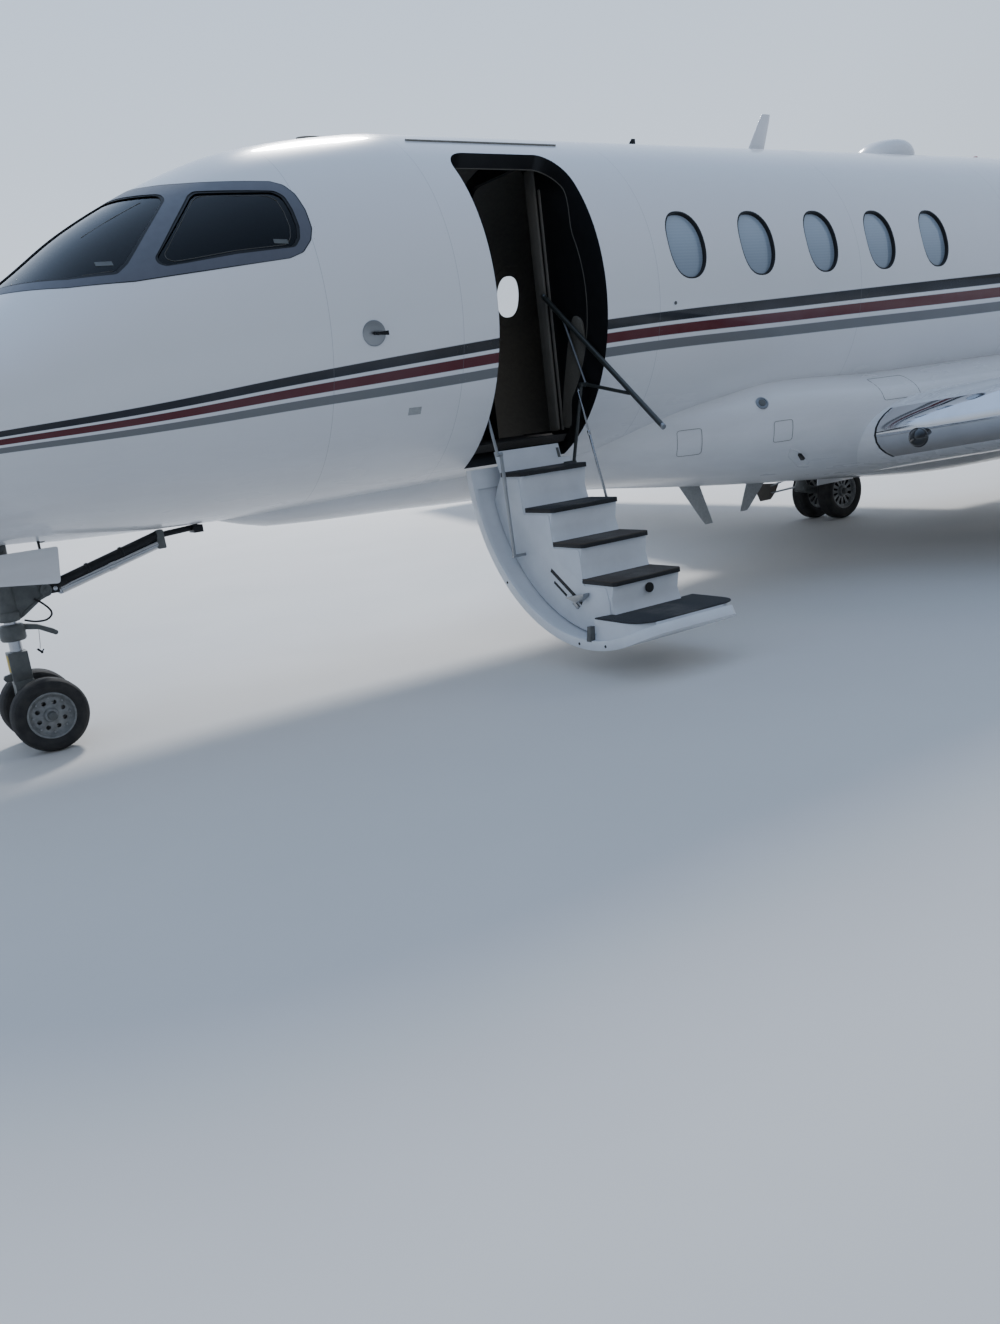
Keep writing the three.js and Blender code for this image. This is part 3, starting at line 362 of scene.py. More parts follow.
def form(name, shape, finishes=(), bevel=0.0, angle=34.0):
    """A mesh object from a shape, faces outwards, with its edges rounded."""
    mesh = bpy.data.meshes.new(name)
    mesh.from_pydata(shape.points, [], shape.faces)
    mesh.polygons.foreach_set("material_index", shape.kinds)
    work = bmesh.new()
    work.from_mesh(mesh)
    bmesh.ops.remove_doubles(work, verts=work.verts, dist=2e-6)
    bmesh.ops.recalc_face_normals(work, faces=work.faces)
    work.to_mesh(mesh)
    work.free()
    obj = bpy.data.objects.new(name, mesh)
    bpy.context.scene.collection.objects.link(obj)
    for finish in finishes:
        mesh.materials.append(finish)
    if bevel:
        edge = obj.modifiers.new("edge", "BEVEL")
        edge.width, edge.segments, edge.limit_method = bevel, 2, "ANGLE"
        edge.angle_limit = math.radians(angle)
        edge.harden_normals = False
        settle(obj)
    return shade(obj, angle)


def cut(obj, tools, operation="DIFFERENCE"):
    """Cuts an object by others, which it uses up."""
    for tool in tools:
        step = obj.modifiers.new("cut", "BOOLEAN")
        step.operation, step.solver, step.object = operation, "EXACT", tool
        settle(obj)
        bpy.data.objects.remove(tool)
    return shade(obj)


def sided(obj, side):
    """Leaves a port piece as it is, or mirrors it to starboard."""
    if side < 0:
        obj.data.transform(Matrix.Diagonal((1, -1, 1, 1)))
        obj.data.flip_normals()
    return obj


def use(*names):
    """Finishes by name."""
    return [FINISHES[name] for name in names]


def place(obj, body, slot, *replaced):
    """Lets a finished piece ride on its body, and hides the parts that it replaces."""
    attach(obj, body)
    if replaced:
        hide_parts(*replaced)


def piece(name, shape, finishes, slot="paint", body="airframe", node=None, side=1, **edges):
    """Forms a piece, mirrored to starboard where side is -1, and places it."""
    obj = sided(form(name, shape, use(*finishes.split()), **edges), side)
    place(obj, body, slot, *([node] if node else []))


def hull_shading(obj, kinds=(0,)):
    """Gives the faces of some kinds the exact outward directions of the fuselage skin."""
    mesh = obj.data
    corners = np.zeros(len(mesh.loops) * 3, np.float32)
    mesh.corner_normals.foreach_get("vector", corners)
    corners = corners.reshape(-1, 3)
    points = np.zeros(len(mesh.vertices) * 3, np.float32)
    mesh.vertices.foreach_get("co", points)
    exact = hull_gradient(points.reshape(-1, 3))
    for face in mesh.polygons:
        if face.material_index in kinds:
            for loop in face.loop_indices:
                way = exact[mesh.loops[loop].vertex_index]
                if Vector(way).dot(face.normal) > 0.9:
                    corners[loop] = way
    mesh.normals_split_custom_set([tuple(n) for n in corners.tolist()])
    return obj


# Finishes


class Value:
    """A shader value. Python's operators on it add Math nodes to its finish."""

    def __init__(self, finish, socket):
        self.finish, self.socket = finish, socket

    def math(self, operation, *values):
        """A Math node with this value first."""
        return self.finish.node("ShaderNodeMath", {"operation": operation}, (self, *values))

    def __add__(self, other):
        return self.math("ADD", other)

    def __sub__(self, other):
        return self.math("SUBTRACT", other)

    def __mul__(self, other):
        return self.math("MULTIPLY", other)

    def __truediv__(self, other):
        return self.math("DIVIDE", other)

    __radd__, __rmul__ = __add__, __mul__

    def __rsub__(self, other):
        return self.finish.node("ShaderNodeMath", {"operation": "SUBTRACT"}, (other, self))

    def __rtruediv__(self, other):
        return self.finish.node("ShaderNodeMath", {"operation": "DIVIDE"}, (other, self))

    def size(self):
        """Its absolute value."""
        return self.math("ABSOLUTE")

    def most(self, other):
        """The larger of two values."""
        return self.math("MAXIMUM", other)

    def beyond(self, edge, soft):
        """0 below an edge and 1 above it, smooth over a width."""
        return self.finish.node(
            "ShaderNodeMapRange", {"interpolation_type": "SMOOTHSTEP"},
            {"Value": self, "From Min": edge - soft, "From Max": edge + soft})

    def between(self, low, high, soft):
        """1 between two edges."""
        return self.beyond(low, soft) * (1 - self.beyond(high, soft))

    def near(self, middle, half, soft):
        """1 within a distance of a middle."""
        return 1 - (self - middle).size().beyond(half, soft)


class Finish:
    """A material in the making."""

    def __init__(self, name, colour, roughness, metallic=0.0, **fixed):
        self.material = bpy.data.materials.new(name)
        self.material.use_nodes = True
        self.material.diffuse_color = (*colour, 1)
        self.tree = self.material.node_tree
        self.shader = self.tree.nodes["Principled BSDF"]
        self.feed(
            {"Base Color": colour, "Roughness": roughness, "Metallic": metallic}
            | {key.replace("_", " ").title(): value for key, value in fixed.items()})

    def feed(self, values, node=None):
        """Links or sets a node's inputs, the shader's if none is named."""
        node = node or self.shader
        for key, value in values.items():
            socket = node.inputs[key]
            if isinstance(value, Value):
                self.tree.links.new(value.socket, socket)
            elif hasattr(value, "__len__") and len(socket.default_value) == 4:
                socket.default_value = (*value, 1.0)
            else:
                socket.default_value = value
        return self

    def node(self, kind, settings=None, inputs=(), output=0):
        """Any node: its type, its settings, the values or links of its inputs, and its output."""
        node = self.tree.nodes.new(kind)
        for key, value in (settings or {}).items():
            if key == "stops":
                ramp = node.color_ramp
                for i, (where, colour) in enumerate(value):
                    stop = ramp.elements[i] if i < 2 else ramp.elements.new(where)
                    stop.position, stop.color = where, (*colour, 1)
            elif key == "curve":
                curve = node.mapping.curves[0]
                curve.points[0].location, curve.points[1].location = value[0], value[-1]
                for point in value[1:-1]:
                    curve.points.new(*point)
                node.mapping.update()
            else:
                setattr(node, key, value)
        pairs = inputs if isinstance(inputs, dict) else dict(enumerate(inputs))
        self.feed(pairs, node)
        return Value(self, node.outputs[output])

    def spot(self, attribute=None):
        """The point being shaded as three values, from the object or from an attribute."""
        if attribute:
            point = self.node("ShaderNodeAttribute", {"attribute_name": attribute}, output="Vector")
        else:
            point = self.node("ShaderNodeTexCoord", output="Object")
        self.point = point
        return [self.node("ShaderNodeSeparateXYZ", None, [point], output=k) for k in range(3)]

    def noise(self, scale, detail=3.0, rough=0.55, stretch=(1, 1, 1)):
        """Noise from 0 to 1 that may be stretched along an axis."""
        where = self.node("ShaderNodeVectorMath", {"operation": "MULTIPLY"}, [self.point, stretch])
        return self.node(
            "ShaderNodeTexNoise", None,
            {"Vector": where, "Scale": scale, "Detail": detail, "Roughness": rough})

    def mix(self, factor, a, b):
        """A colour between two."""
        return self.node("ShaderNodeMix", {"data_type": "RGBA"}, {0: factor, 6: a, 7: b}, output=2)

    def bump(self, height, strength=0.3, distance=0.001):
        """Raises the surface by a height."""
        made = self.node(
            "ShaderNodeBump", None, {"Height": height, "Strength": strength, "Distance": distance})
        return self.feed({"Normal": made})


STRIPE_SPAN = (-8.8, 9.5)
STRIPE_ROOM = 4.0
# Upper edge and height of the stripe band: ahead, Z, height
STRIPES = (
    (-13.6, 2.500, 0.110),
    (-11.0, 2.330, 0.240),
    (-8.5, 2.190, 0.290),
    (-4.78, 2.079, 0.283),
    (-2.6, 2.010, 0.248),
    (-0.784, 1.942, 0.214),
    (0.0, 1.886, 0.209),
    (1.217, 1.785, 0.168),
    (1.986, 1.709, 0.128),
    (2.655, 1.664, 0.098),
    (3.6, 1.600, 0.060),
    (4.5, 1.540, 0.030),
)


def along_hull(finish, x, column, scale):
    """A value of the stripe table at X."""
    low, high = STRIPE_SPAN
    curve = [((at(row[0]) - low) / (high - low), row[column] / scale) for row in STRIPES]
    share = (x - low) / (high - low)
    return finish.node("ShaderNodeFloatCurve", {"curve": curve}, {"Value": share}) * scale


def stripe_colours(finish, colours, white, attribute=None):
    """The three stripes over a white base, with the X and Z of the point being shaded."""
    x, _, z = finish.spot(attribute)
    u = (along_hull(finish, x, 1, STRIPE_ROOM) - z) / along_hull(finish, x, 2, 0.5)
    base = white
    for (low, high), colour in zip(((0.0, 0.27), (0.365, 0.63), (0.745, 1.0)), colours):
        base = finish.mix(u.between(low, high, 0.012), base, colour)
    return base, x, z


SEAMS = (3.0, 1.02, 0.235, -1.20, -3.10, -5.02, -6.90, -8.7, -10.4)


def white_paint(name, colours, attribute=None, striped=True, grime=0.5):
    """Gloss white with soft grime below, and where striped, stripes and fine panel joints."""
    f = Finish(name, colours.white, 0.22, coat_weight=0.6, coat_roughness=0.05)
    white = tuple(colours.white)
    if striped:
        base, x, z = stripe_colours(f, (colours.dark, colours.red, colours.grey), white, attribute)
    else:
        base, z = white, f.spot(attribute)[2]
    patch = f.noise(1.1, 4.0, 0.6)
    streak = f.noise(9.0, 3.0, 0.6, (0.25, 1, 1.6))
    low = 1 - z.beyond(1.35, 0.5)
    dirt = low * (patch * 0.5 + streak * 0.5).beyond(0.5, 0.22) * grime
    base = f.mix(dirt * 0.45, base, (0.34, 0.32, 0.29))
    base = f.mix(patch.beyond(0.52, 0.3) * 0.07, base, (0.52, 0.56, 0.62))
    if striped:
        seam = x.near(at(SEAMS[0]), 0.0012, 0.0012)
        for ahead in SEAMS[1:]:
            seam = seam.most(x.near(at(ahead), 0.0011, 0.0012))
        base = f.mix(seam * 0.5, base, (0.16, 0.17, 0.19))
    ripple = f.noise(2.3, 2.0, 0.5, (0.6, 1, 1))
    f.bump(ripple, 0.10, 0.01)
    f.feed(
        {"Base Color": base, "Roughness": 0.2 + patch * 0.08 + dirt * 0.3, "Specular IOR Level": 0.15})
    return f.material


def mottled(name, colour, roughness, metallic=0.0, scale=30.0, depth=0.12, grain=0.2, **fixed):
    """A plain finish with soft changes of tone and a fine grain."""
    f = Finish(name, colour, roughness, metallic, **fixed)
    f.spot()
    tone = f.noise(scale, 4.0, 0.6)
    fine = f.noise(scale * 12, 2.0, 0.5)
    darker = tuple(c * (1 - depth * 2) for c in colour)
    f.feed({"Base Color": f.mix(tone.beyond(0.5, 0.25) * 0.8, colour, darker)})
    f.feed({"Roughness": roughness + (tone - 0.5) * 0.18})
    f.bump(fine, grain, 0.0006)
    return f.material


def brushed(name, colour, roughness, stretch=(0.05, 1, 1), scale=180.0, grain=0.06):
    """Polished or brushed metal whose lines run along X unless stretched otherwise."""
    f = Finish(name, colour, roughness, 1.0)
    f.spot()
    lines = f.noise(scale, 3.0, 0.6, stretch)
    haze = f.noise(4.0, 3.0, 0.6)
    f.feed({"Roughness": roughness + (haze - 0.4) * grain * 3 + (lines - 0.5) * grain * 1.6})
    f.feed({"Base Color": f.mix(haze.beyond(0.55, 0.2) * 0.3, colour, [c * 0.7 for c in colour])})
    f.bump(lines, grain, 0.0004)
    return f.material


def blinds_with_painted_sky(name, colours):
    """Cabin panes over drawn pale blinds, with painted sky reflection: brighter towards the top, and a
    blue cast that is partly the blinds' own colour and partly painted sky.
    """
    f = Finish(name, colours.blind, 0.07, coat_weight=1.0, coat_roughness=0.02)
    z = f.spot()[2]
    pleats = ((z * 330.0).math("SINE") * 0.5 + 0.5) * 0.12
    # Painted sky reflection: the panes grow brighter above about 2.35 m.
    tone = z.beyond(2.35, 0.22)
    low, high = [c * 0.75 for c in colours.blind], [min(1, c * 1.2) for c in colours.blind]
    f.feed({"Base Color": f.mix(tone - pleats, low, high)})
    return f.material


def dark_glass(name, tint, alpha, coat):
    """Tinted glass."""
    f = Finish(name, tint, 0.03, coat_weight=coat, coat_roughness=0.01)
    f.feed({"Specular IOR Level": 0.3})
    f.spot()
    haze = f.noise(3.0, 3.0, 0.6)
    f.feed({"Roughness": 0.02 + haze * 0.05, "Alpha": alpha + (haze - 0.5) * 0.06})
    return f.material


def tread_grip(name, base):
    """Non-slip sheet with grit, worn paler along the middle of the way up."""
    f = Finish(name, base, 0.85)
    x = f.spot()[0]
    grit = f.noise(900.0, 2.0, 0.7)
    wear = f.noise(14.0, 4.0, 0.65) * x.near(at(-0.38), 0.16, 0.16)
    f.feed({"Base Color": f.mix(wear.beyond(0.42, 0.2) * 0.6, base, (0.11, 0.1, 0.088))})
    f.bump(grit, 0.6, 0.0012)
    return f.material


def tyre_rubber(name):
    """Black rubber with dust on its shoulders."""
    f = Finish(name, (0.018, 0.018, 0.019), 0.8)
    f.spot()
    dust, grain = f.noise(16.0, 4.0, 0.6), f.noise(420.0, 2.0, 0.6)
    f.feed(
        {"Base Color": f.mix(dust.beyond(0.5, 0.2) * 0.5, (0.016, 0.016, 0.017), (0.05, 0.047, 0.043))})
    f.bump(grain, 0.25, 0.0008)
    return f.material


FINISHES = {}


def build_finishes(colours):
    """Every finish of the jet, by its name."""
    FINISHES.update(
        hull=white_paint("hull_paint", colours),
        door=white_paint("door_paint", colours, attribute="closed_place"),
        white=white_paint("white_paint", colours, striped=False, grime=0.4),
        stair=mottled("stair_paint", (0.72, 0.75, 0.79), 0.32, scale=7.0, depth=0.05, grain=0.1),
        mask=mottled("cockpit_surround", tuple(colours.slate), 0.38, scale=20.0, depth=0.06),
        seal=mottled("rubber_seal", (0.008, 0.008, 0.009), 0.55, scale=60.0),
        bead=mottled("doorway_bead", (0.16, 0.15, 0.13), 0.45, scale=60.0),
        rail=mottled("rail_paint", (0.045, 0.05, 0.047), 0.35, scale=40.0, depth=0.15),
        # Near black: the doorway's own black reveal, and painted shade on the walls of the nose well,
        # the wheel wells and the wheels' holes.
        reveal=mottled("black_reveal_and_painted_shade", (0.012, 0.012, 0.013), 0.42, scale=12.0, depth=0.2),
        liner=mottled("cabin_liner", (0.36, 0.34, 0.30), 0.8, scale=40.0, depth=0.1, grain=0.4),
        carpet=mottled("carpet", (0.07, 0.065, 0.06), 0.95, scale=220.0, depth=0.3, grain=0.9),
        cabinet=mottled(
            "dark_veneer", (0.055, 0.05, 0.042), 0.3, scale=6.0, depth=0.2, coat_weight=0.4),
        leather=mottled(
            "pale_leather", (0.16, 0.148, 0.125), 0.6, scale=90.0, depth=0.1, grain=0.6),
        jamb=mottled("grey_jamb", (0.20, 0.188, 0.165), 0.5, scale=8.0, depth=0.1),
        trim=brushed("satin_trim", (0.35, 0.36, 0.37), 0.35),
        blind=blinds_with_painted_sky("cabin_pane_painted_sky", colours),
        glass=dark_glass("cockpit_pane", (0.002, 0.0025, 0.004), 0.88, 0.0),
        clear=dark_glass("clear_pane", (0.5, 0.55, 0.6), 0.12, 0.3),
        ball=mottled("dark_lens", (0.006, 0.007, 0.009), 0.06, scale=20.0, grain=0.0, coat_weight=1.0),
        heater=mottled("heater_line", (0.09, 0.083, 0.07), 0.5, scale=40.0),
        # Paler brown sheet for the third and fourth treads: their wear, and painted sunlight on them.
        tread_brown=tread_grip("tread_grip_worn_painted_sun", (0.06, 0.049, 0.04)),
        leg_panel=mottled("leg_panel", (0.24, 0.215, 0.19), 0.5, scale=12.0, depth=0.1),
        tread=tread_grip("tread_grip", colours.tread),
        tread_edge=mottled("tread_edge", (0.012, 0.012, 0.013), 0.6, scale=50.0),
        polished=brushed("polished_skin", (0.70, 0.71, 0.74), 0.07, (1, 0.05, 1), grain=0.012),
        steel=brushed("steel_rod", (0.40, 0.41, 0.42), 0.38, (1, 1, 0.05), grain=0.015),
        chrome=brushed("chrome_piston", (0.5, 0.51, 0.53), 0.2, grain=0.015),
        dark=mottled("dark_metal", (0.018, 0.019, 0.021), 0.4, 0.5, scale=50.0),
        gear=mottled("gear_paint", (0.12, 0.128, 0.125), 0.45, scale=18.0, depth=0.2, grain=0.3),
        rim=mottled("wheel_paint", (0.28, 0.29, 0.29), 0.42, 0.2, scale=30.0, depth=0.25),
        tyre=tyre_rubber("tyre_rubber"),
        fan=brushed("fan_metal", (0.3, 0.31, 0.33), 0.32, (1, 1, 0.1)),
        exhaust=mottled("exhaust_metal", (0.16, 0.13, 0.11), 0.4, 0.9, scale=9.0, depth=0.25),
        red_lens=mottled("red_lens", (0.5, 0.01, 0.008), 0.1, scale=40.0, coat_weight=1.0),
        green_lens=mottled("green_lens", (0.01, 0.32, 0.08), 0.1, scale=40.0, coat_weight=1.0),
        head=mottled("fastener_head", (0.42, 0.43, 0.44), 0.4, 0.3, scale=60.0),
        plate=mottled("blank_plate", (0.42, 0.43, 0.43), 0.5, scale=60.0),
        yellow=mottled("blank_placard", (0.6, 0.42, 0.02), 0.5, scale=60.0),
    )


# Fuselage


def stations(fore, aft, pitch):
    """Evenly spread distances ahead, from fore to aft."""
    count = max(2, math.ceil((fore - aft) / pitch) + 1)
    return [fore + (aft - fore) * i / (count - 1) for i in range(count)]


def hatch_turns(foot, head, corners, grow=0.0):
    """Angles down a hatch, close together at its round head."""
    foot, head = math.radians(foot) - grow / RADIUS, math.radians(head) + grow / RADIUS
    tall = max(corners["fore"][1], corners["aft"][1]) / RADIUS
    turns = [head - tall * (1 - math.cos(math.radians(a))) for a in range(0, 91, 6)]
    return turns + list(np.linspace(head - tall, foot, 30)[1:])


def hatch_ends(turn, fore, aft, head, corners, grow=0.0):
    """X of a hatch's forward and aft edges at an angle."""
    ends = []
    for side, edge, sign in (("fore", fore + grow, -1), ("aft", aft - grow, 1)):
        wide, tall = corners[side][0] + grow, corners[side][1] + grow
        u = min(1.0, (math.radians(head) + grow / RADIUS - turn) * RADIUS / tall)
        ends.append(at(edge) + sign * wide * (1 - math.sqrt(max(0.0, 1 - (1 - u) ** 2))))
    return ends


def door_edge(foot, grow):
    """X and angle round the doorway: up its aft edge, over its head and down its forward edge."""
    shape = DOOR["head"], DOOR_CORNERS, grow
    turns = hatch_turns(foot, *shape)
    ends = [hatch_ends(t, DOOR["fore"], DOOR["aft"], *shape) for t in turns]
    up, down = zip(ends[::-1], turns[::-1]), zip(ends, turns)
    return [(e[1], t) for e, t in up] + [(e[0], t) for e, t in down]


def hatch(fore, aft, foot, head, low, high, corners=None, grow=0.0, kind=0, outer=None):
    """The piece of a ring wall between two radii behind a door or panel with round upper corners.
    Angles are in degrees; corners give each upper corner's reach along X and round the ring. The
    outer skin may have a kind of its own."""
    corners = corners or DOOR_CORNERS
    rings = []
    for t in hatch_turns(foot, head, corners, grow):
        x0, x1 = hatch_ends(t, fore, aft, head, corners, grow)
        c, s = math.cos(t), math.sin(t)
        rings.append(
            [(x, r * c, AXIS_Z + r * s) for x, r in ((x0, low), (x1, low), (x1, high), (x0, high))])
    shape = Shape().rings(rings, kind)
    if outer is not None:
        for i in range(2, 4 * (len(rings) - 1), 4):
            shape.kinds[i] = outer
    return shape


def oval(middle, low, high, grow=0.0, kind=0, steps=44):
    """A cabin window's plug between two radii, port side."""
    half_x = WINDOW_HALF_X + grow
    half_t = math.radians(WINDOW_HALF_DEG) + grow / RADIUS
    middle_t = math.radians(WINDOW_ANGLE)
    power = 0.86
    rings = []
    for r in (low, high):
        ring = []
        for i in range(steps):
            a = 2 * math.pi * i / steps
            c, s = math.cos(a), math.sin(a)
            u = math.copysign(abs(c) ** power, c)
            v = math.copysign(abs(s) ** power, s)
            t = middle_t + half_t * v
            ring.append((at(middle) + half_x * u, r * math.cos(t), AXIS_Z + r * math.sin(t)))
        rings.append(ring)
    return Shape().rings(rings, kind)


def starboard(shape):
    """A copy of a shape on the other side."""
    copy = Shape()
    return copy.add([(x, -y, z) for x, y, z in shape.points], [f[::-1] for f in shape.faces])


# Outlines of the cockpit panes and their surround: ahead, Z
SIDE_PANE = ((1.473, 2.740), (1.275, 2.722), (1.108, 2.708), (1.072, 2.676), (1.062, 2.599),
             (1.063, 2.507), (1.081, 2.445), (1.116, 2.403), (1.409, 2.385), (1.657, 2.355),
             (1.753, 2.346), (1.785, 2.361), (1.790, 2.391), (1.764, 2.421), (1.636, 2.572),
             (1.508, 2.716))
FRONT_PANE = ((1.973, 2.328), (1.913, 2.374), (1.770, 2.534), (1.606, 2.711), (1.606, 2.749),
              (1.705, 2.773), (1.79, 2.802), (2.56, 2.40), (2.44, 2.362), (2.34, 2.350),
              (2.175, 2.328))
MASK = ((1.089, 2.376), (1.032, 2.435), (1.006, 2.496), (1.002, 2.596), (1.016, 2.683),
        (1.049, 2.739), (1.105, 2.764), (1.322, 2.782), (1.504, 2.800), (1.624, 2.822),
        (1.72, 2.90), (2.62, 2.42), (2.56, 2.345), (2.432, 2.318), (2.190, 2.288), (1.907, 2.287),
        (1.592, 2.313), (1.167, 2.349))
PANE_ROUND = 0.05
PANE_SPAN = (2.75, 0.9)
MASK_MIDDLE = Vector((1.75, 2.5))
PANES = (("side", SIDE_PANE, 0.3), ("front", FRONT_PANE, 0.055))


def pane_tool(name, outline, inner_y, grow=0.0, kind=0):
    """A prism across the port side that cuts a pane's outline."""
    centre = Vector((sum(p[0] for p in outline), sum(p[1] for p in outline))) / len(outline)
    grown = []
    for p in rounded(outline, PANE_ROUND, 4):
        away = Vector(p) - centre
        q = Vector(p) + away.normalized() * grow
        grown.append((at(q.x), q.y))
    return form(name, Shape().prism("y", grown, inner_y, 1.4, kind))


def skin_panel(fore, aft, outer, inner, pitch, kinds=(0, 1)):
    """A stretch of wall between two insets."""
    rows = stations(fore, aft, pitch)
    shape = Shape()
    shape.rings([hull_ring(a, outer) for a in rows] + [hull_ring(a, inner) for a in rows[::-1]],
                kinds[0], looped=True)
    ring_faces = RING_STEPS
    count = len(rows)
    for i in range(len(shape.faces)):
        band = i // ring_faces
        shape.kinds[i] = kinds[0] if band < count - 1 else kinds[1]
    return shape


def colour(name, description, default):
    """A colour that a user would change."""
    return FloatVectorProperty(
        name=name, description=description, subtype="COLOR", default=default, min=0, max=1)


class JetColours(bpy.types.PropertyGroup):
    """Paint and trim colours."""

    white: colour("White", "Main paint", (0.80, 0.81, 0.83))
    dark: colour("Dark stripe", "Upper stripe", (0.003, 0.0035, 0.007))
    red: colour("Red stripe", "Middle stripe", (0.095, 0.004, 0.008))
    grey: colour("Grey stripe", "Lower stripe", (0.17, 0.175, 0.18))
    slate: colour("Slate", "Surround of the cockpit panes", (0.105, 0.11, 0.135))
    # The blinds' blue-grey is partly their own colour and partly painted sky reflection.
    blind: colour("Blinds", "Blinds behind the cabin panes", (0.33, 0.40, 0.48))
    tread: colour("Treads", "Non-slip sheet on the steps", (0.028, 0.029, 0.031))


class JetSizes(bpy.types.PropertyGroup):
    """Sizes that a user would change."""

    fan_blades: IntProperty(
        name="Fan blades", description="Blades on each fan", default=22, min=8, max=40)
    rivet_pitch: FloatProperty(
        name="Fastener pitch", description="Gap between panel fasteners", default=0.06, unit="LENGTH",
        min=0.02)
    lens: FloatProperty(
        name="Focal length", description="Camera lens on a 36 mm side, in millimetres", default=29.02,
        min=10, max=200)


TIP_STEP = 0.02
NOSE_WELL = ((at(2.43), -0.19, 0.9), (at(2.96), 0.19, 1.3))


class JET_OT_fuselage(bpy.types.Operator):
    """Build the fuselage skins with their doorway and window openings"""

    bl_idname = "jet.fuselage"
    bl_label = "Fuselage"

    def execute(self, context):
        nose = Shape()
        count = int(math.sqrt(NOSE_AHEAD - NOSE_JOINT) / TIP_STEP) + 1
        tip = [NOSE_AHEAD - (TIP_STEP * i) ** 2 for i in range(count)]
        nose.rings([hull_ring(a) for a in tip if a > NOSE_JOINT] + [hull_ring(NOSE_JOINT)])
        obj = form("nose_skin", nose, use("hull"))
        place(hull_shading(obj), "airframe", "paint", "nose_section")

        finishes = use("hull", "liner", "reveal")
        fore = form("forward_skin", skin_panel(NOSE_JOINT, FORWARD_JOINT, 0, WALL, 0.06), finishes)
        shape = hatch(*DOOR.values(), 0.7, 1.35, kind=2)
        tools = [form("door_tool", shape, finishes)]
        for name, outline, inner_y in PANES:
            for side in (1, -1):
                tool = pane_tool(f"{name}_tool", outline, inner_y, kind=2)
                tool.data.transform(Matrix.Diagonal((1, side, 1, 1)))
                if side < 0:
                    tool.data.flip_normals()
                for finish in finishes:
                    tool.data.materials.append(finish)
                tools.append(tool)
        # Painted shade: the nose well's cut walls take the near black reveal finish.
        tools.append(form("well_tool", Shape().box(*NOSE_WELL, 2), finishes))
        cut(fore, tools)
        place(hull_shading(fore), "airframe", "paint", "forward_fuselage")

        mid = form("mid_skin", skin_panel(FORWARD_JOINT, AFT_JOINT, 0, WALL, 0.12), finishes)
        holes = Shape()
        for step in WINDOW_STEPS:
            plug = oval(WINDOW_FIRST - step * WINDOW_PITCH, 0.8, 1.2)
            for part in (plug, starboard(plug)):
                holes.add(part.points, part.faces, 2)
        cut(mid, [form("window_tool", holes, finishes)])
        place(hull_shading(mid), "airframe", "paint", "mid_fuselage")

        tail = Shape()
        tail.rings([hull_ring(a) for a in stations(AFT_JOINT, TAIL_END, 0.09)])
        obj = form("tail_skin", tail, use("hull"))
        place(hull_shading(obj), "airframe", "paint", "tail_cone")
        return {"FINISHED"}


PARTITION = -0.809


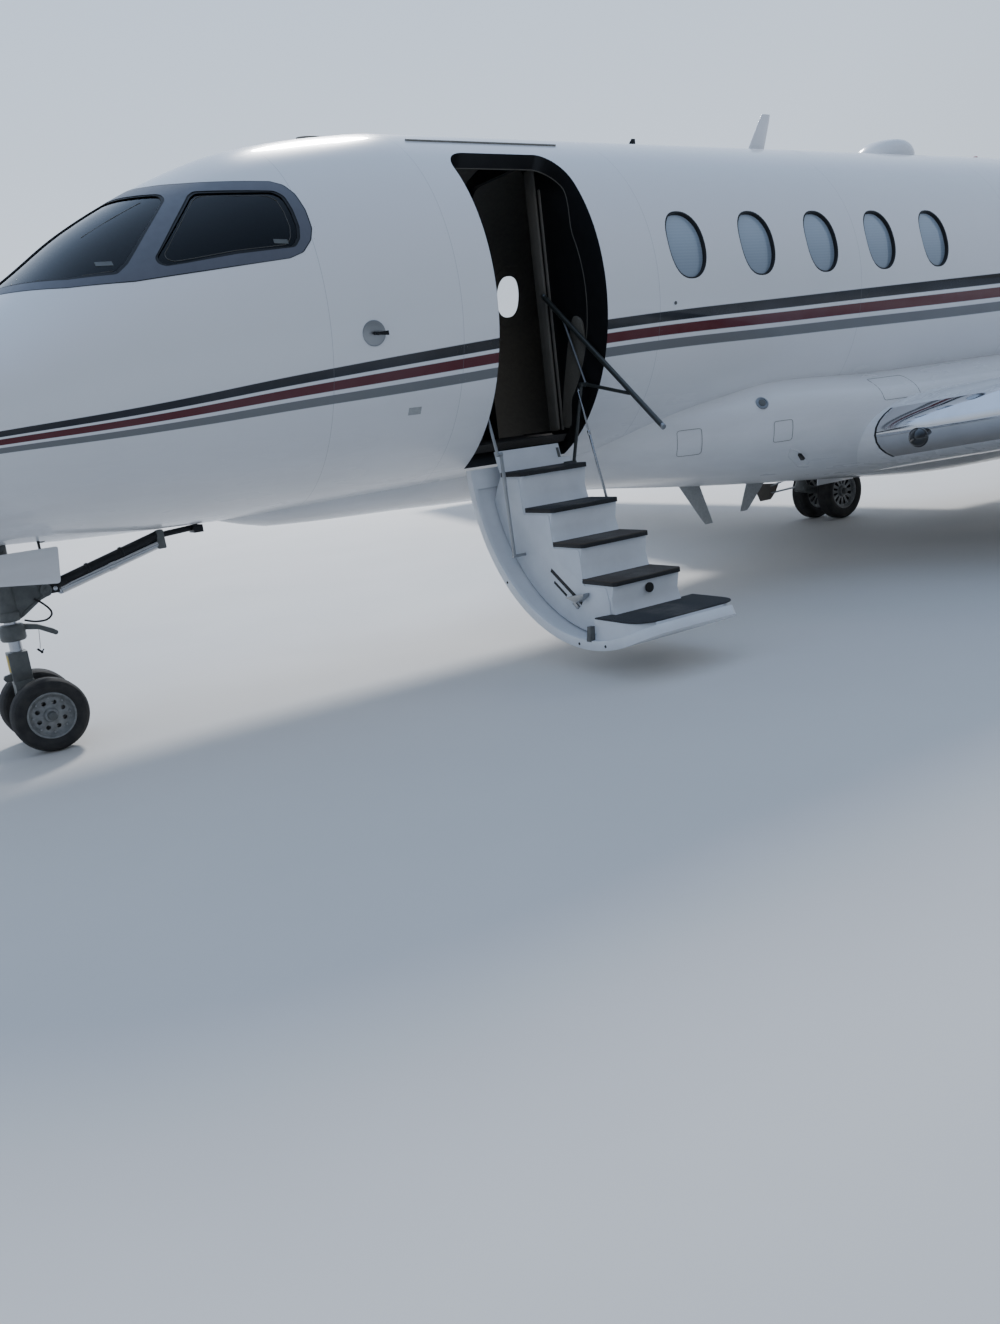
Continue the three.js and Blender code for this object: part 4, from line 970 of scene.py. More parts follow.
class JET_OT_doorway(bpy.types.Operator):
    """Build the doorway's black reveal, its bead, the gutter above it and the cabin behind it"""

    bl_idname = "jet.doorway"
    bl_label = "Doorway and cabin"

    def edge_path(self, foot, grow, low=None):
        """Points round the doorway's edge. Its depth swells from nothing at the sill and over the head
        to a low radius at the sides."""
        path = []
        for x, t in door_edge(foot, grow):
            r = INSIDE
            if low:
                degrees = math.degrees(t)
                shares = [min(1.0, max(0.0, v)) for v in ((degrees - 24) / 18, (-44 - degrees) / 11)]
                r = low + (INSIDE - 0.006 - low) * sum(v * v * (3 - 2 * v) for v in shares)
            path.append((x, r * math.cos(t), AXIS_Z + r * math.sin(t)))
        return path

    def execute(self, context):
        corners = [self.edge_path(-55, grow, low)
                   for grow, low in ((0.003, None), (0.003, 0.855), (0.04, 0.855), (0.04, None))]
        reveal = Shape().rings([list(points) for points in zip(*corners)])
        piece("doorway_reveal", reveal, "reveal", "cabin_trim")
        bead = Shape().tube(self.edge_path(-53, 0.006, 0.857), 0.0045, 10)
        piece("doorway_bead", bead, "bead", "cabin_trim")

        gutter = Shape()
        turn = math.radians(61)
        path = [hull_point(a, turn, -0.004) for a in np.linspace(0.14, -0.93, 12)]
        gutter.tube(path, 0.0065, 8)
        piece("rain_gutter", gutter, "jamb")

        for node, finish in (("crew_bulkhead", "reveal"), ("cabin_floor", "carpet"),
                             ("cockpit_interior", "liner"), ("galley_cabinet", "cabinet")):
            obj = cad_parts[node]
            obj.data.materials.clear()
            obj.data.materials.append(FINISHES[finish])

        foot = SILL_Z + 0.0005
        ring = [(INSIDE * math.cos(t), AXIS_Z + INSIDE * math.sin(t))
                for t in np.radians(np.linspace(-50, 230, 71))]
        outline = [p for p in ring if p[1] > foot]
        outline = [(outline[0][0], foot), *outline, (outline[-1][0], foot)]
        wall = form("partition", Shape().prism("x", outline, at(-0.851), at(PARTITION)), use("reveal"),
                    bevel=0.004)
        aisle = rounded(
            [(-0.38, 1.25), (0.33, 1.25), (0.33, 2.98), (-0.38, 2.98)], [0.001, 0.001, 0.14, 0.14])
        cut(wall, [form("aisle_tool", Shape().prism("x", aisle, at(-0.9), at(-0.7), 0))])
        place(wall, "airframe", "cabin_trim", "cabin_partition")
        lining = Shape()
        for y0, y1, z1, x1 in ((0.335, 0.43, 2.93, 0.018), (0.455, 0.475, 2.80, 0.012)):
            panel = rounded([(y0, 1.32), (y1, 1.32), (y1, z1), (y0, z1)], 0.02)
            lining.prism("x", panel, at(PARTITION), at(PARTITION) + x1)
        piece("partition_edges", lining, "jamb", "cabin_trim", bevel=0.005)
        outline = rounded(
            [(0.47, 1.33), (0.60, 1.33), (0.74, 1.50), (0.80, 1.75), (0.78, 1.98), (0.70, 2.02),
             (0.62, 1.85), (0.53, 1.58)], 0.12)
        side_panel = Shape().prism("x", outline, at(PARTITION), at(-0.789))
        piece("partition_side_panel", side_panel, "leather", "cabin_trim", bevel=0.006)

        front = Shape()
        for x0, x1, z0, z1 in (
                (-0.775, -0.50, 1.36, 1.95), (-0.49, -0.22, 1.36, 1.95), (-0.21, 0.045, 1.36, 1.95),
                (-0.775, -0.37, 2.0, 2.68), (-0.36, 0.045, 2.0, 2.68)):
            front.box((at(x0), -0.5005, z0), (at(x1), -0.488, z1))
        piece("galley_doors", front, "cabinet", "cabin_trim", bevel=0.003)
        pulls = Shape()
        for x0, z in ((-0.64, 1.88), (-0.36, 1.88), (-0.09, 1.88), (-0.57, 2.07), (-0.16, 2.07)):
            pulls.tube([(at(x0 - 0.05), -0.476, z), (at(x0 + 0.05), -0.476, z)], 0.005, 10)
            for end in (-0.045, 0.045):
                pulls.tube([(at(x0 + end), -0.489, z), (at(x0 + end), -0.474, z)], 0.004, 8)
        piece("galley_pulls", pulls, "trim", "cabin_trim")
        return {"FINISHED"}


class JET_OT_cockpit(bpy.types.Operator):
    """Build the cockpit panes, their seals, the slate surround and the lines and plates in the glass"""

    bl_idname = "jet.cockpit"
    bl_label = "Cockpit glass"

    def surround(self, name, inset, grow, pane_grow, finish):
        """A band of skin round the panes."""
        band = form(name, skin_panel(*PANE_SPAN, inset, 0.004, 0.04, (0, 0)), use(finish))
        outline = []
        for p in rounded(MASK, PANE_ROUND, 4):
            away = (Vector(p) - MASK_MIDDLE).normalized() * grow
            outline.append((at(p[0] + away.x), p[1] + away.y))
        cut(band, [form("keep", Shape().prism("y", outline, -1.4, 1.4))], "INTERSECT")
        cut(band, [sided(pane_tool("hole", pane, y, pane_grow), side)
                   for side in (1, -1) for _, pane, y in PANES])
        place(hull_shading(band), "airframe", "paint")

    def execute(self, context):
        self.surround("cockpit_surround", -0.0018, 0.0, 0.001, "mask")
        self.surround("surround_edge", -0.0012, 0.006, -0.001, "seal")
        nodes = {"side": "cockpit_side_window", "front": "windshield"}
        for word, outline, y in PANES:
            for name, side in SIDES:
                pane = form(f"{word}_pane_{name}", skin_panel(*PANE_SPAN, 0.009, 0.033, 0.05, (0, 0)),
                            use("glass"))
                cut(pane, [sided(pane_tool("keep", outline, y + 0.014, -0.014), side)], "INTERSECT")
                place(hull_shading(pane), "airframe", "cockpit_glass", f"{nodes[word]}_{name}")
                seal = form(f"{word}_seal_{name}", skin_panel(*PANE_SPAN, 0.0015, 0.034, 0.05, (0, 0)),
                            use("seal"))
                cut(seal, [sided(pane_tool("keep", outline, y, 0.0), side)], "INTERSECT")
                cut(seal, [sided(pane_tool("hole", outline, y + 0.013, -0.013), side)])
                place(hull_shading(seal), "airframe", "cockpit_glass")
        for name, side in SIDES:
            lines, plates = Shape(), Shape()
            middle = Vector((1.4, 2.55))
            inner = [Vector(p).lerp(middle, 0.13) for p in rounded(SIDE_PANE, PANE_ROUND, 4)]
            lines.tube([hull_spot(p.x, p.y, 0.0085) for p in [*inner, inner[0]]], 0.0018, 6)
            for run in (((1.70, 2.725), (1.85, 2.655), (2.02, 2.565)),
                        ((1.98, 2.352), (2.10, 2.347), (2.28, 2.362))):
                lines.tube([hull_spot(a, z, 0.0085) for a, z in run], 0.0018, 6)
            for a, z in ((1.178, 2.437), (2.005, 2.392)):
                corners = [(a - 0.035, z - 0.012), (a + 0.035, z - 0.006), (a + 0.035, z + 0.016),
                           (a - 0.035, z + 0.010)]
                plates.rings(
                    [[hull_spot(u, v, inset) for u, v in corners] for inset in (0.0095, 0.0065)])
            piece(f"pane_lines_{name}", lines, "heater", "cockpit_glass", side=side)
            piece(f"pane_plates_{name}", plates, "gear", "cockpit_glass", side=side)
        return {"FINISHED"}


class JET_OT_windows(bpy.types.Operator):
    """Build the cabin windows with their dark rings and drawn blinds"""

    bl_idname = "jet.windows"
    bl_label = "Cabin windows"

    def execute(self, context):
        for name, side in SIDES:
            panes, rings, tools, liners = Shape(), Shape(), Shape(), Shape()
            for step in WINDOW_STEPS:
                middle = WINDOW_FIRST - step * WINDOW_PITCH
                open_blind = side < 0 and step == 0
                panes.join(oval(middle, RADIUS - 0.036, RADIUS - 0.026, -0.0095, kind=int(open_blind)))
                rings.join(oval(middle, RADIUS - 0.04, RADIUS - 0.0012, -0.0004))
                tools.join(oval(middle, RADIUS - 0.06, RADIUS + 0.02, -0.010))
                liners.join(oval(middle, RADIUS - WALL - 0.006, RADIUS - WALL - 0.001, 0.03))
            glass = sided(form(f"cabin_panes_{name}", panes, use("blind", "clear")), side)
            place(glass, "airframe", "cabin_glass", f"cabin_windows_{name}")
            seals = form(f"cabin_seals_{name}", rings, use("seal"))
            cut(seals, [form("holes", tools)])
            place(sided(seals, side), "airframe", "cabin_glass")
            blinds = form(f"cabin_blinds_{name}", liners, use("liner"))
            if side < 0:
                hole = oval(WINDOW_FIRST + 0.03, RADIUS - 0.2, RADIUS, -0.05)
                cut(blinds, [form("open_window", hole)])
            place(sided(blinds, side), "airframe", "cabin_trim")
        return {"FINISHED"}


# Open airstair, seen in the plane across the jet
OPEN_AXIS = (1.549, 1.2003)
TREADS = ((0.674, 0.895, 1.118), (0.893, 1.163, 0.903), (1.140, 1.412, 0.706),
          (1.385, 1.665, 0.503), (1.640, 2.000, 0.318))
STAIR_X = (-0.63, -0.14)
STAIR_FACE = at(-0.6303)
SKIN = 0.055

# Rails and stay: distances ahead, and pivots across the jet
RAIL_X, POST_X, ROD_X, STAY_UPPER_X, STAY_LOWER_X = -0.752, -0.716, -0.695, -0.03, -0.054
RAIL_HEAD, RAIL_FOOT = (0.47, 2.16), (1.49, 1.29)
POST_FOOT, POST_EYE = (0.66, 1.118), (0.815, 1.587)
ROD_FOOT, ROD_EYE = (0.992, 0.862), (0.80, 1.56)
STAY_TOP, STAY_KNEE, STAY_FOOT = (0.762, 1.49), (0.83, 1.24), (0.85, 0.63)


def opened(points):
    """Points of the shut door in their open place."""
    c, s = math.cos(-DOOR_OPEN), math.sin(-DOOR_OPEN)
    y0, z0 = DOOR_HINGE
    return [
        (x, y0 + (y - y0) * c - (z - z0) * s, z0 + (y - y0) * s + (z - z0) * c) for x, y, z in points]


def open_door(obj):
    """Swings a shut piece open and keeps its shut place as an attribute."""
    mesh = obj.data
    shut = np.zeros(len(mesh.vertices) * 3, np.float32)
    mesh.vertices.foreach_get("co", shut)
    kept = mesh.attributes.new("closed_place", "FLOAT_VECTOR", "POINT")
    kept.data.foreach_set("vector", shut)
    moved = np.array(opened(shut.reshape(-1, 3)), np.float32)
    mesh.vertices.foreach_set("co", moved.ravel())
    mesh.update()
    return obj


def arc_point(radius, degrees):
    """A point across the jet on a circle about the open door's own axis."""
    t = math.radians(degrees)
    return (OPEN_AXIS[0] + radius * math.cos(t), OPEN_AXIS[1] + radius * math.sin(t))


class JET_OT_airstair(bpy.types.Operator):
    """Build the open airstair: its curved skin, treads, risers, rails and stay"""

    bl_idname = "jet.airstair"
    bl_label = "Airstair"

    def execute(self, context):
        edges = (DOOR["fore"], DOOR["aft"])
        inner = RADIUS - SKIN
        skin = hatch(*edges, -63.3, 52, inner, RADIUS, grow=-0.006, kind=1, outer=0)
        door = form("airstair_door", skin, use("door", "stair"), bevel=0.004)
        tray = hatch(*edges, -58, 48.5, inner - 0.05, inner + 0.018, grow=-0.034, kind=1)
        cut(door, [form("tray_tool", tray, use("door", "stair"))])
        place(open_door(door), "airstair", "paint", "airstair_shell")

        outline = [(0.612, 1.03), (0.666, 1.104), (0.642, 1.165), (0.620, 1.250), (0.628, 1.250),
                   (0.650, 1.165), (0.674, 1.118)]
        for i, (back, front, z) in enumerate(TREADS):
            outline.append((front - 0.004, z - 0.002))
            if i < 4:
                drop = z - TREADS[i + 1][2]
                outline.append((front - 0.030, z - 0.60 * drop))
                outline.append((front - 0.004, TREADS[i + 1][2] - 0.002))
        outline += [(1.99, 0.30), arc_point(inner + 0.008, -64)]
        outline += [arc_point(inner + 0.008, a) for a in range(-66, -170, -4)]
        body = Shape().prism("x", outline, at(STAIR_X[0]), at(STAIR_X[1]))
        block = form("stair_block", body, use("stair"), bevel=0.004)
        low = Shape().prism(
            "x", [(1.60, 0.19), (1.60, 0.318), (2.0, 0.318), (2.04, 0.19)], at(-0.8), at(0.0))
        low = form("low_tread_block", low, use("stair"))
        keep = form("keep", hatch(*edges, -63.3, 52, 0.7, inner + 0.006, grow=-0.034))
        cut(low, [open_door(keep)], "INTERSECT")
        place(block, "airstair", "paint", "airstair_steps")
        place(low, "airstair", "paint")

        pads, worn_sunlit_pads, nosings = Shape(), Shape(), Shape()
        for i, (back, front, z) in enumerate(TREADS[:4]):
            x0, x1 = at(STAIR_X[0] - 0.006), at(STAIR_X[1] + 0.006)
            plan = [(x0, back + 0.004), (x0, front - 0.012), (x0 + 0.016, front + 0.014),
                    (x1 - 0.016, front + 0.014), (x1, front - 0.008), (x1, back + 0.004)]
            # Painted sunlight: the third and fourth treads take the paler brown sheet, which also
            # stands for their wear.
            (pads if i < 2 else worn_sunlit_pads).prism("z", plan, z - 0.001, z + 0.0055)
            nosings.prism("z", plan, z - 0.022, z - 0.001)
        plan = rounded([(at(-0.752), 1.62), (at(-0.752), 1.995), (at(-0.03), 1.995), (at(-0.03), 1.60),
                        (at(-0.14), 1.625), (at(-0.63), 1.625)], [0.01, 0.13, 0.15, 0.01, 0.01, 0.01])
        pads.prism("z", plan, 0.316, 0.3235)
        piece("tread_pads", pads, "tread", body="airstair", bevel=0.0015)
        piece("tread_pads_worn_painted_sun", worn_sunlit_pads, "tread_brown", body="airstair", bevel=0.0015)
        piece("tread_nosings", nosings, "tread_edge", body="airstair", bevel=0.002)

        side = Shape()
        cover = [(0.70, 1.085), (0.86, 1.085), (0.875, 0.87), (1.13, 0.87), (1.145, 0.675),
                 (1.385, 0.675), (1.40, 0.47), (1.60, 0.47), (1.62, 0.37)]
        cover += [arc_point(inner - 0.05, a) for a in range(-86, -166, -5)]
        side.prism("x", rounded(cover, 0.02, 4), at(STAIR_X[1]), at(STAIR_X[1]) + 0.006)
        piece("stair_side_panel", side, "stair", body="airstair", bevel=0.002)

        # Painted shade: the slots and holes in the stair's side are black rubber prisms and discs set
        # where the openings are.
        slots, plates, dark = Shape(), Shape(), Shape()
        x1 = at(STAIR_X[1]) + 0.006
        for a, b, half in (((1.10, 0.545), (1.37, 0.365), 0.012), ((1.12, 0.475), (1.23, 0.40), 0.008)):
            way = (Vector(b) - Vector(a)).normalized()
            off = Vector((-way.y, way.x)) * half
            a, b = Vector(a), Vector(b)
            slots.prism("x", [tuple(a + off), tuple(b + off), tuple(b - off), tuple(a - off)],
                        x1 - 0.004, x1 + 0.0015)
        plates.prism("x", [(1.27, 0.40), (1.45, 0.435), (1.44, 0.41), (1.37, 0.375)], x1, x1 + 0.045)
        plates.prism("x", [(1.29, 0.36), (1.33, 0.33), (1.35, 0.345), (1.31, 0.378)], x1, x1 + 0.012)
        piece("stair_slots_painted_shade", slots, "seal", body="airstair")
        piece("stair_bracket", plates, "steel", body="airstair", bevel=0.002)
        for r, a in ((0.03, -135.5), (0.03, -94), (0.03, -81)):
            y, z = arc_point(inner + r, a)
            dark.tube([(at(-0.012), y, z), (at(-0.0045), y, z)], 0.0085, 16)
        dark.tube([(at(-0.4), 1.652, 0.43), (at(-0.4), 1.662, 0.43)], 0.028, 28)
        piece("stair_holes_painted_shade", dark, "seal", body="airstair")
        latch = Shape()
        latch.prism("x", [(0.6340, 1.223), (0.6500, 1.163), (0.6530, 1.1640), (0.6370, 1.2240)],
                    at(STAIR_X[0]) + 0.008, at(STAIR_X[0]) + 0.028)
        piece("riser_latch", latch, "gear", body="airstair")
        strip = Shape()
        for r, x0 in ((1.012, -0.0062), (inner + 0.002, -0.034)):
            strip.prism("x", [arc_point(0.925, -88.8), arc_point(r, -90.0), arc_point(r, -87.6),
                              arc_point(0.925, -87.0)], at(x0), at(-0.0035))
        piece("latch_strip", strip, "gear", body="airstair", bevel=0.001)

        x = at(RAIL_X)
        rail = Shape().tube([(x, *RAIL_HEAD), (x, *RAIL_FOOT)], 0.020, 20, flat=0.8)
        rail.bars(
            ((x, *POST_EYE), (x, 1.22, 1.50), 0.011, 14), pin(x - 0.012, at(-0.7273), POST_EYE, 0.014))
        piece("hand_rail", rail, "rail", "dark_metal", "handrail", node="handrail")
        link = Shape().tube([(x, 0.811, 1.597), (x, 0.648, 1.994)], 0.009, 14)
        piece("rail_link", link, "steel", "dark_metal", "handrail")
        caps = Shape()
        for ends in (((1.478, 1.3003), (1.4925, 1.2879)), ((0.482, 2.1499), (0.4675, 2.1621))):
            caps.tube([(x, *end) for end in ends], 0.0208, 20, flat=0.8)
        piece("rail_caps", caps, "trim", "dark_metal", "handrail", bevel=0.002)

        x = at(POST_X)
        post = Shape().bars(
            ((x, *POST_FOOT), (x, *POST_EYE), 0.011, 18), pin(x - 0.014, STAIR_FACE, POST_FOOT, 0.012),
            pin(x - 0.011, x + 0.012, POST_EYE, 0.015))
        piece("rail_post_bar", post, "rail", "dark_metal", "rail_post", node="rail_post", bevel=0.001)
        x = at(ROD_X)
        foot, head = Vector((x, *ROD_FOOT)), Vector((x, *ROD_EYE))
        half_way = foot.lerp(head, 0.62)
        rod = Shape().bars(
            (foot, half_way, 0.0085, 18), (half_way, head, 0.0062, 18),
            (foot.lerp(head, 0.60), foot.lerp(head, 0.64), 0.011, 18),
            pin(x - 0.008, STAIR_FACE, ROD_FOOT, 0.010), pin(x - 0.008, x + 0.008, ROD_EYE, 0.012))
        piece("rail_rod_bar", rod, "chrome", "polished_metal", "rail_rod", node="rail_rod", bevel=0.001)

        x = at(STAY_UPPER_X)
        upper = Shape().bars(
            ((x, *STAY_TOP), (x, *STAY_KNEE), 0.0095, 18), pin(at(-0.0003), x - 0.009, STAY_TOP, 0.010),
            pin(x - 0.008, x + 0.009, STAY_KNEE, 0.0125))
        piece("stay_upper_bar", upper, "steel", "polished_metal", "stay_upper", node="stay_upper",
              bevel=0.001)
        x = at(STAY_LOWER_X)
        lower = Shape().tube([(x, *STAY_KNEE), (x, 0.84, 0.93), (x, *STAY_FOOT)], 0.0100, 18)
        lower.bars(
            ((x, 0.8333, 1.14), (x, 0.8367, 1.03), 0.0115, 18),
            pin(x + 0.012, at(STAIR_X[1]) + 0.0065, STAY_FOOT, 0.0095),
            pin(at(-0.0395), x - 0.009, STAY_KNEE, 0.0115))
        piece("stay_lower_bar", lower, "steel", "polished_metal", "stay_lower", node="stay_lower",
              bevel=0.001)
        return {"FINISHED"}


# Wings and tail

CHORD_STEPS = [0.5 * (1 - math.cos(math.pi * i / 26)) for i in range(27)]


def thickness(share, ratio):
    """Half thickness of the aerofoil, as a share of the chord."""
    s = share
    return ratio * 5 * (
        0.2969 * math.sqrt(s) - 0.126 * s - 0.3516 * s * s + 0.2843 * s**3 - 0.1036 * s**4)


def aerofoil(chord, ratio, lead, grow=0.0, shares=CHORD_STEPS):
    """Section outline as pairs: X, and the distance from the chord line."""
    rise = [thickness(s, ratio) * chord + grow + (0.002 if s > 0 else 0.0) for s in shares]
    upper = [(lead - s * chord + (grow if s == 0 else 0), r) for s, r in zip(shares, rise)]
    upper[0] = (upper[0][0], 0.0)
    lower = [(x, -r) for x, r in upper[1:]]
    return upper + lower[::-1]


# Wing at its root and tip: leading edge ahead, chord, height, and its depth ratio times the chord
WING_ROOT_Y, WING_TIP_Y = 1.15, 11.025
WING_ROOT = (-2.99, 3.40, 1.005, 0.544)
WING_TIP = (-5.88, 1.25, 1.88, 0.125)
TIP_START, TIP_LONG = 10.865, 0.16


def lerp(t, start, end):
    """The values part of the way between two rows."""
    return (a + t * (b - a) for a, b in zip(start, end))


def wing_at(y):
    """Lead, chord, height and thickness ratio of the wing at a station."""
    t = (y - WING_ROOT_Y) / (WING_TIP_Y - WING_ROOT_Y)
    lead, chord, z, depth = lerp(t, WING_ROOT, WING_TIP)
    return lead, chord, z, depth / chord


def wing_rings(ys, grow=0.0, shares=CHORD_STEPS):
    """Rings of the wing, rounded off towards its tip."""
    rings = []
    for y in ys:
        lead, chord, z, thick = wing_at(y)
        tip = max(0.0, (y - TIP_START) / TIP_LONG)
        slim = math.sqrt(max(0.0, 1 - tip**2.4))
        shrink = 1 - 0.28 * tip**2
        ring = aerofoil(chord * shrink, thick * max(slim, 0.06),
                        at(lead - (chord - chord * shrink) * 0.6), grow, shares)
        rings.append([(x, y, z + v) for x, v in ring])
    return rings


WING_YS = (0.70, 1.15, 1.75, 3.5, 5.2, 6.9, 7.0, 8.7, 10.45, 10.865, 10.905, 10.945, 10.985, 11.012,
           11.0245)
FLAP = (1.75, 6.90, 0.74)
AILERON = (7.00, 10.45, 0.76)
END_GAP = 0.014


def surface_tool(inner, outer, share, gap=0.0, lead_gap=0.0):
    """The space behind a wing surface's forward edge."""
    outline = []
    for y, inset in ((inner, gap), (outer, -gap)):
        lead, chord = wing_at(y)[:2]
        outline.append((at(lead - chord * share) - lead_gap, y + inset))
    outline += [(at(-9.5), outer - gap), (at(-9.5), inner + gap)]
    return form("tool", Shape().prism("z", outline, 0.3, 3.0))


def hinge_bar(a, b, radii, grow=0.0):
    """A round bar along a hinge line."""
    return form("bar", Shape().tube([a, b], [r + grow for r in radii], 28))


class JET_OT_wings(bpy.types.Operator):
    """Build the wings with flaps, ailerons, polished edges, lights and flap tracks"""

    bl_idname = "jet.wings"
    bl_label = "Wings"

    def execute(self, context):
        for name, side in SIDES:
            wing = form(f"{name}_wing", Shape().rings(wing_rings(WING_YS)), use("white"), angle=50)
            flap = form(f"{name}_flap", Shape().rings(wing_rings(WING_YS)), use("white"), angle=50)
            cut(flap, [surface_tool(*FLAP, gap=0.0, lead_gap=0.004)], "INTERSECT")
            aileron = form(
                f"{name}_aileron", Shape().rings(wing_rings(WING_YS)), use("white"), angle=50)
            cut(aileron, [surface_tool(*AILERON, gap=END_GAP)], "INTERSECT")
            cut(wing, [surface_tool(*FLAP), surface_tool(*AILERON)])
            ends = []
            for y in AILERON[:2]:
                lead, chord, z, thick = wing_at(y)
                ends.append((Vector((at(lead - chord * AILERON[2]), y, z)),
                             thickness(AILERON[2], thick) * chord + 0.002))
            (a, ra), (b, rb) = ends
            cut(wing, [hinge_bar(a, b, (ra, rb), 0.008)])
            way = (b - a).normalized()
            nose = Shape().tube([a + way * 0.018, b - way * 0.018], [ra, rb], 28)
            nose.tube([a + way * 0.001, b - way * 0.001], 0.010, 12)
            nose = form(f"{name}_aileron_nose", nose, use("white"))
            for obj, node, body in ((wing, "wing", "airframe"), (flap, "flap", "airframe"),
                                    (aileron, "aileron", f"aileron_{name}")):
                place(sided(shade(obj, 40), side), body, "paint", f"{node}_{name}")
            place(sided(nose, side), f"aileron_{name}", "paint")

            shares = [s for s in CHORD_STEPS if s < 0.085]
            count = len(shares)
            edge, root = Shape(), Shape()
            for shape, ys, skin in ((edge, (1.199, 2.5, 4.0, 5.5, 7.0, 8.5, 10.0, 10.8), 0.0016),
                                    (root, (1.19, 1.204), 0.003)):
                outer, inner = (wing_rings(ys, depth, shares) for depth in (skin, -0.004))
                shape.rings([[*o[count:], *o[:count], *i[:count][::-1], *i[count:][::-1]]
                             for o, i in zip(outer, inner)])
            piece(f"{name}_leading_edge", edge, "polished", side=side, angle=50)
            piece(f"{name}_edge_seal", root, "seal", side=side, angle=50)
            ball = Shape().turned(
                [(0, 0.062), (0.030, 0.055), (0.052, 0.034), (0.062, 0.0), (0.069, -0.004),
                 (0.069, -0.012), (0.058, -0.03), (0.05, -0.07), (0, -0.07)], (at(-3.066), 1.5, 0.972),
                (1, 0.2, -0.12), 40)
            piece(f"{name}_landing_light", ball, "ball", side=side)
            lamp = Shape().turned(
                [(0, 0.03), (0.012, 0.028), (0.022, 0.018), (0.026, 0.0), (0.024, -0.05), (0, -0.09)],
                (at(-5.93), 10.99, 1.877), (1, 0.25, 0), 24)
            lens = "red_lens" if side > 0 else "green_lens"
            piece(f"{name}_position_light", lamp, lens, side=side)
            tracks = Shape()
            for y in (2.6, 4.4, 6.2):
                lead, chord, z, thick = wing_at(y)
                x = at(lead - chord * 0.60)
                z = z - thickness(0.62, thick) * chord
                path = [(x + 0.10, y, z + 0.008), (x - 0.10, y, z - 0.022),
                        (x - 0.26 * chord, y, z - 0.018), (x - 0.39 * chord, y, z + 0.010)]
                girth = [0.004 + 0.046 * math.sin(math.pi * k / 18) ** 0.6 for k in range(19)]
                tracks.tube(curve_points(path, 6), girth, 20)
            piece(f"{name}_flap_tracks", tracks, "white", side=side, angle=50)
        return {"FINISHED"}


FAIRING = ((1.45, 0.06, 1.062, 1.25), (1.15, 0.23, 0.985, 1.30), (0.2, 0.33, 0.95, 1.35),
           (-0.8, 0.38, 0.905, 1.40), (-1.3, 0.64, 0.868, 1.42), (-1.8, 0.90, 0.81, 1.47),
           (-2.4, 1.06, 0.745, 1.54), (-3.5, 1.16, 0.645, 1.50), (-4.9, 1.20, 0.535, 1.52),
           (-6.5, 1.19, 0.52, 1.54), (-7.6, 1.08, 0.64, 1.54), (-8.8, 0.80, 0.88, 1.50),
           (-9.8, 0.38, 1.18, 1.56), (-10.2, 0.15, 1.38, 1.62))
FAIRING_POWER, FAIRING_WIDEST = 0.72, 0.6
FAIRING_CURVES = [smooth_curve([row[0] for row in FAIRING[::-1]], [row[k] for row in FAIRING[::-1]])
                  for k in (1, 2, 3)]


def fairing_body():
    """The fairing under the fuselage as a closed skin."""
    rings = []
    for ahead in stations(1.45, -10.2, 0.14):
        half, bottom, top = [float(curve(ahead)) for curve in FAIRING_CURVES]
        widest = bottom + FAIRING_WIDEST * (top - bottom)
        ring = []
        for i in range(64):
            t = 2 * math.pi * i / 64
            c, s = math.cos(t), math.sin(t)
            rise = top - widest if s > 0 else widest - bottom
            ring.append((at(ahead), half * math.copysign(abs(c) ** FAIRING_POWER, c),
                         widest + rise * math.copysign(abs(s) ** FAIRING_POWER, s)))
        rings.append(ring)
    return Shape().rings(rings)


def fairing_spot(ahead, z, out=0.0):
    """The point of the fairing's port skin at a station and a height, moved outwards."""
    half, bottom, top = [float(curve(ahead)) for curve in FAIRING_CURVES]
    widest = bottom + FAIRING_WIDEST * (top - bottom)
    rise = top - widest if z > widest else widest - bottom
    s = min(0.999, abs(z - widest) / rise) ** (1 / FAIRING_POWER)
    return Vector((at(ahead), half * math.sqrt(1 - s * s) ** FAIRING_POWER + out, z))


def skin_axis(spot, ahead, z):
    """A point of a port skin and the direction outwards from it."""
    step = 0.01
    along = Vector(spot(ahead + step, z)) - Vector(spot(ahead - step, z))
    up = Vector(spot(ahead, z + step)) - Vector(spot(ahead, z - step))
    way = up.cross(along).normalized()
    return Vector(spot(ahead, z)), way if way.y > 0 else -way


class JET_OT_fairing(bpy.types.Operator):
    """Build the fairing under the wing with its wheel wells"""

    bl_idname = "jet.fairing"
    bl_label = "Belly fairing"

    def execute(self, context):
        finishes = use("white", "reveal")
        body = form("belly_fairing", fairing_body(), finishes, angle=50)
        hull = Shape().rings([hull_ring(a, 0.012, 96) for a in stations(1.6, -10.5, 0.3)])
        # Painted shade: the wells' walls take the near black reveal finish.
        wells = Shape()
        for side in (1, -1):
            y0, y1 = sorted((side * 1.01, side * 1.8))
            wells.box((at(-5.93), y0, 0.4), (at(-5.04), y1, 0.9), 1)
        cut(body, [form("hull_tool", hull, finishes), form("well_tool", wells, finishes)])
        place(shade(body, 50), "airframe", "paint", "wing_fairing")
        return {"FINISHED"}


ENGINE = {"ahead": -8.0, "y": 1.76, "z": 2.69, "length": 3.25, "radius": 0.585}


def smooth_profile(points, steps=5):
    """A smooth turned profile through radius and distance pairs."""
    path = curve_points([(r, s, 0) for r, s in points], steps)
    return [(max(p.x, 0.0), p.y) for p in path]


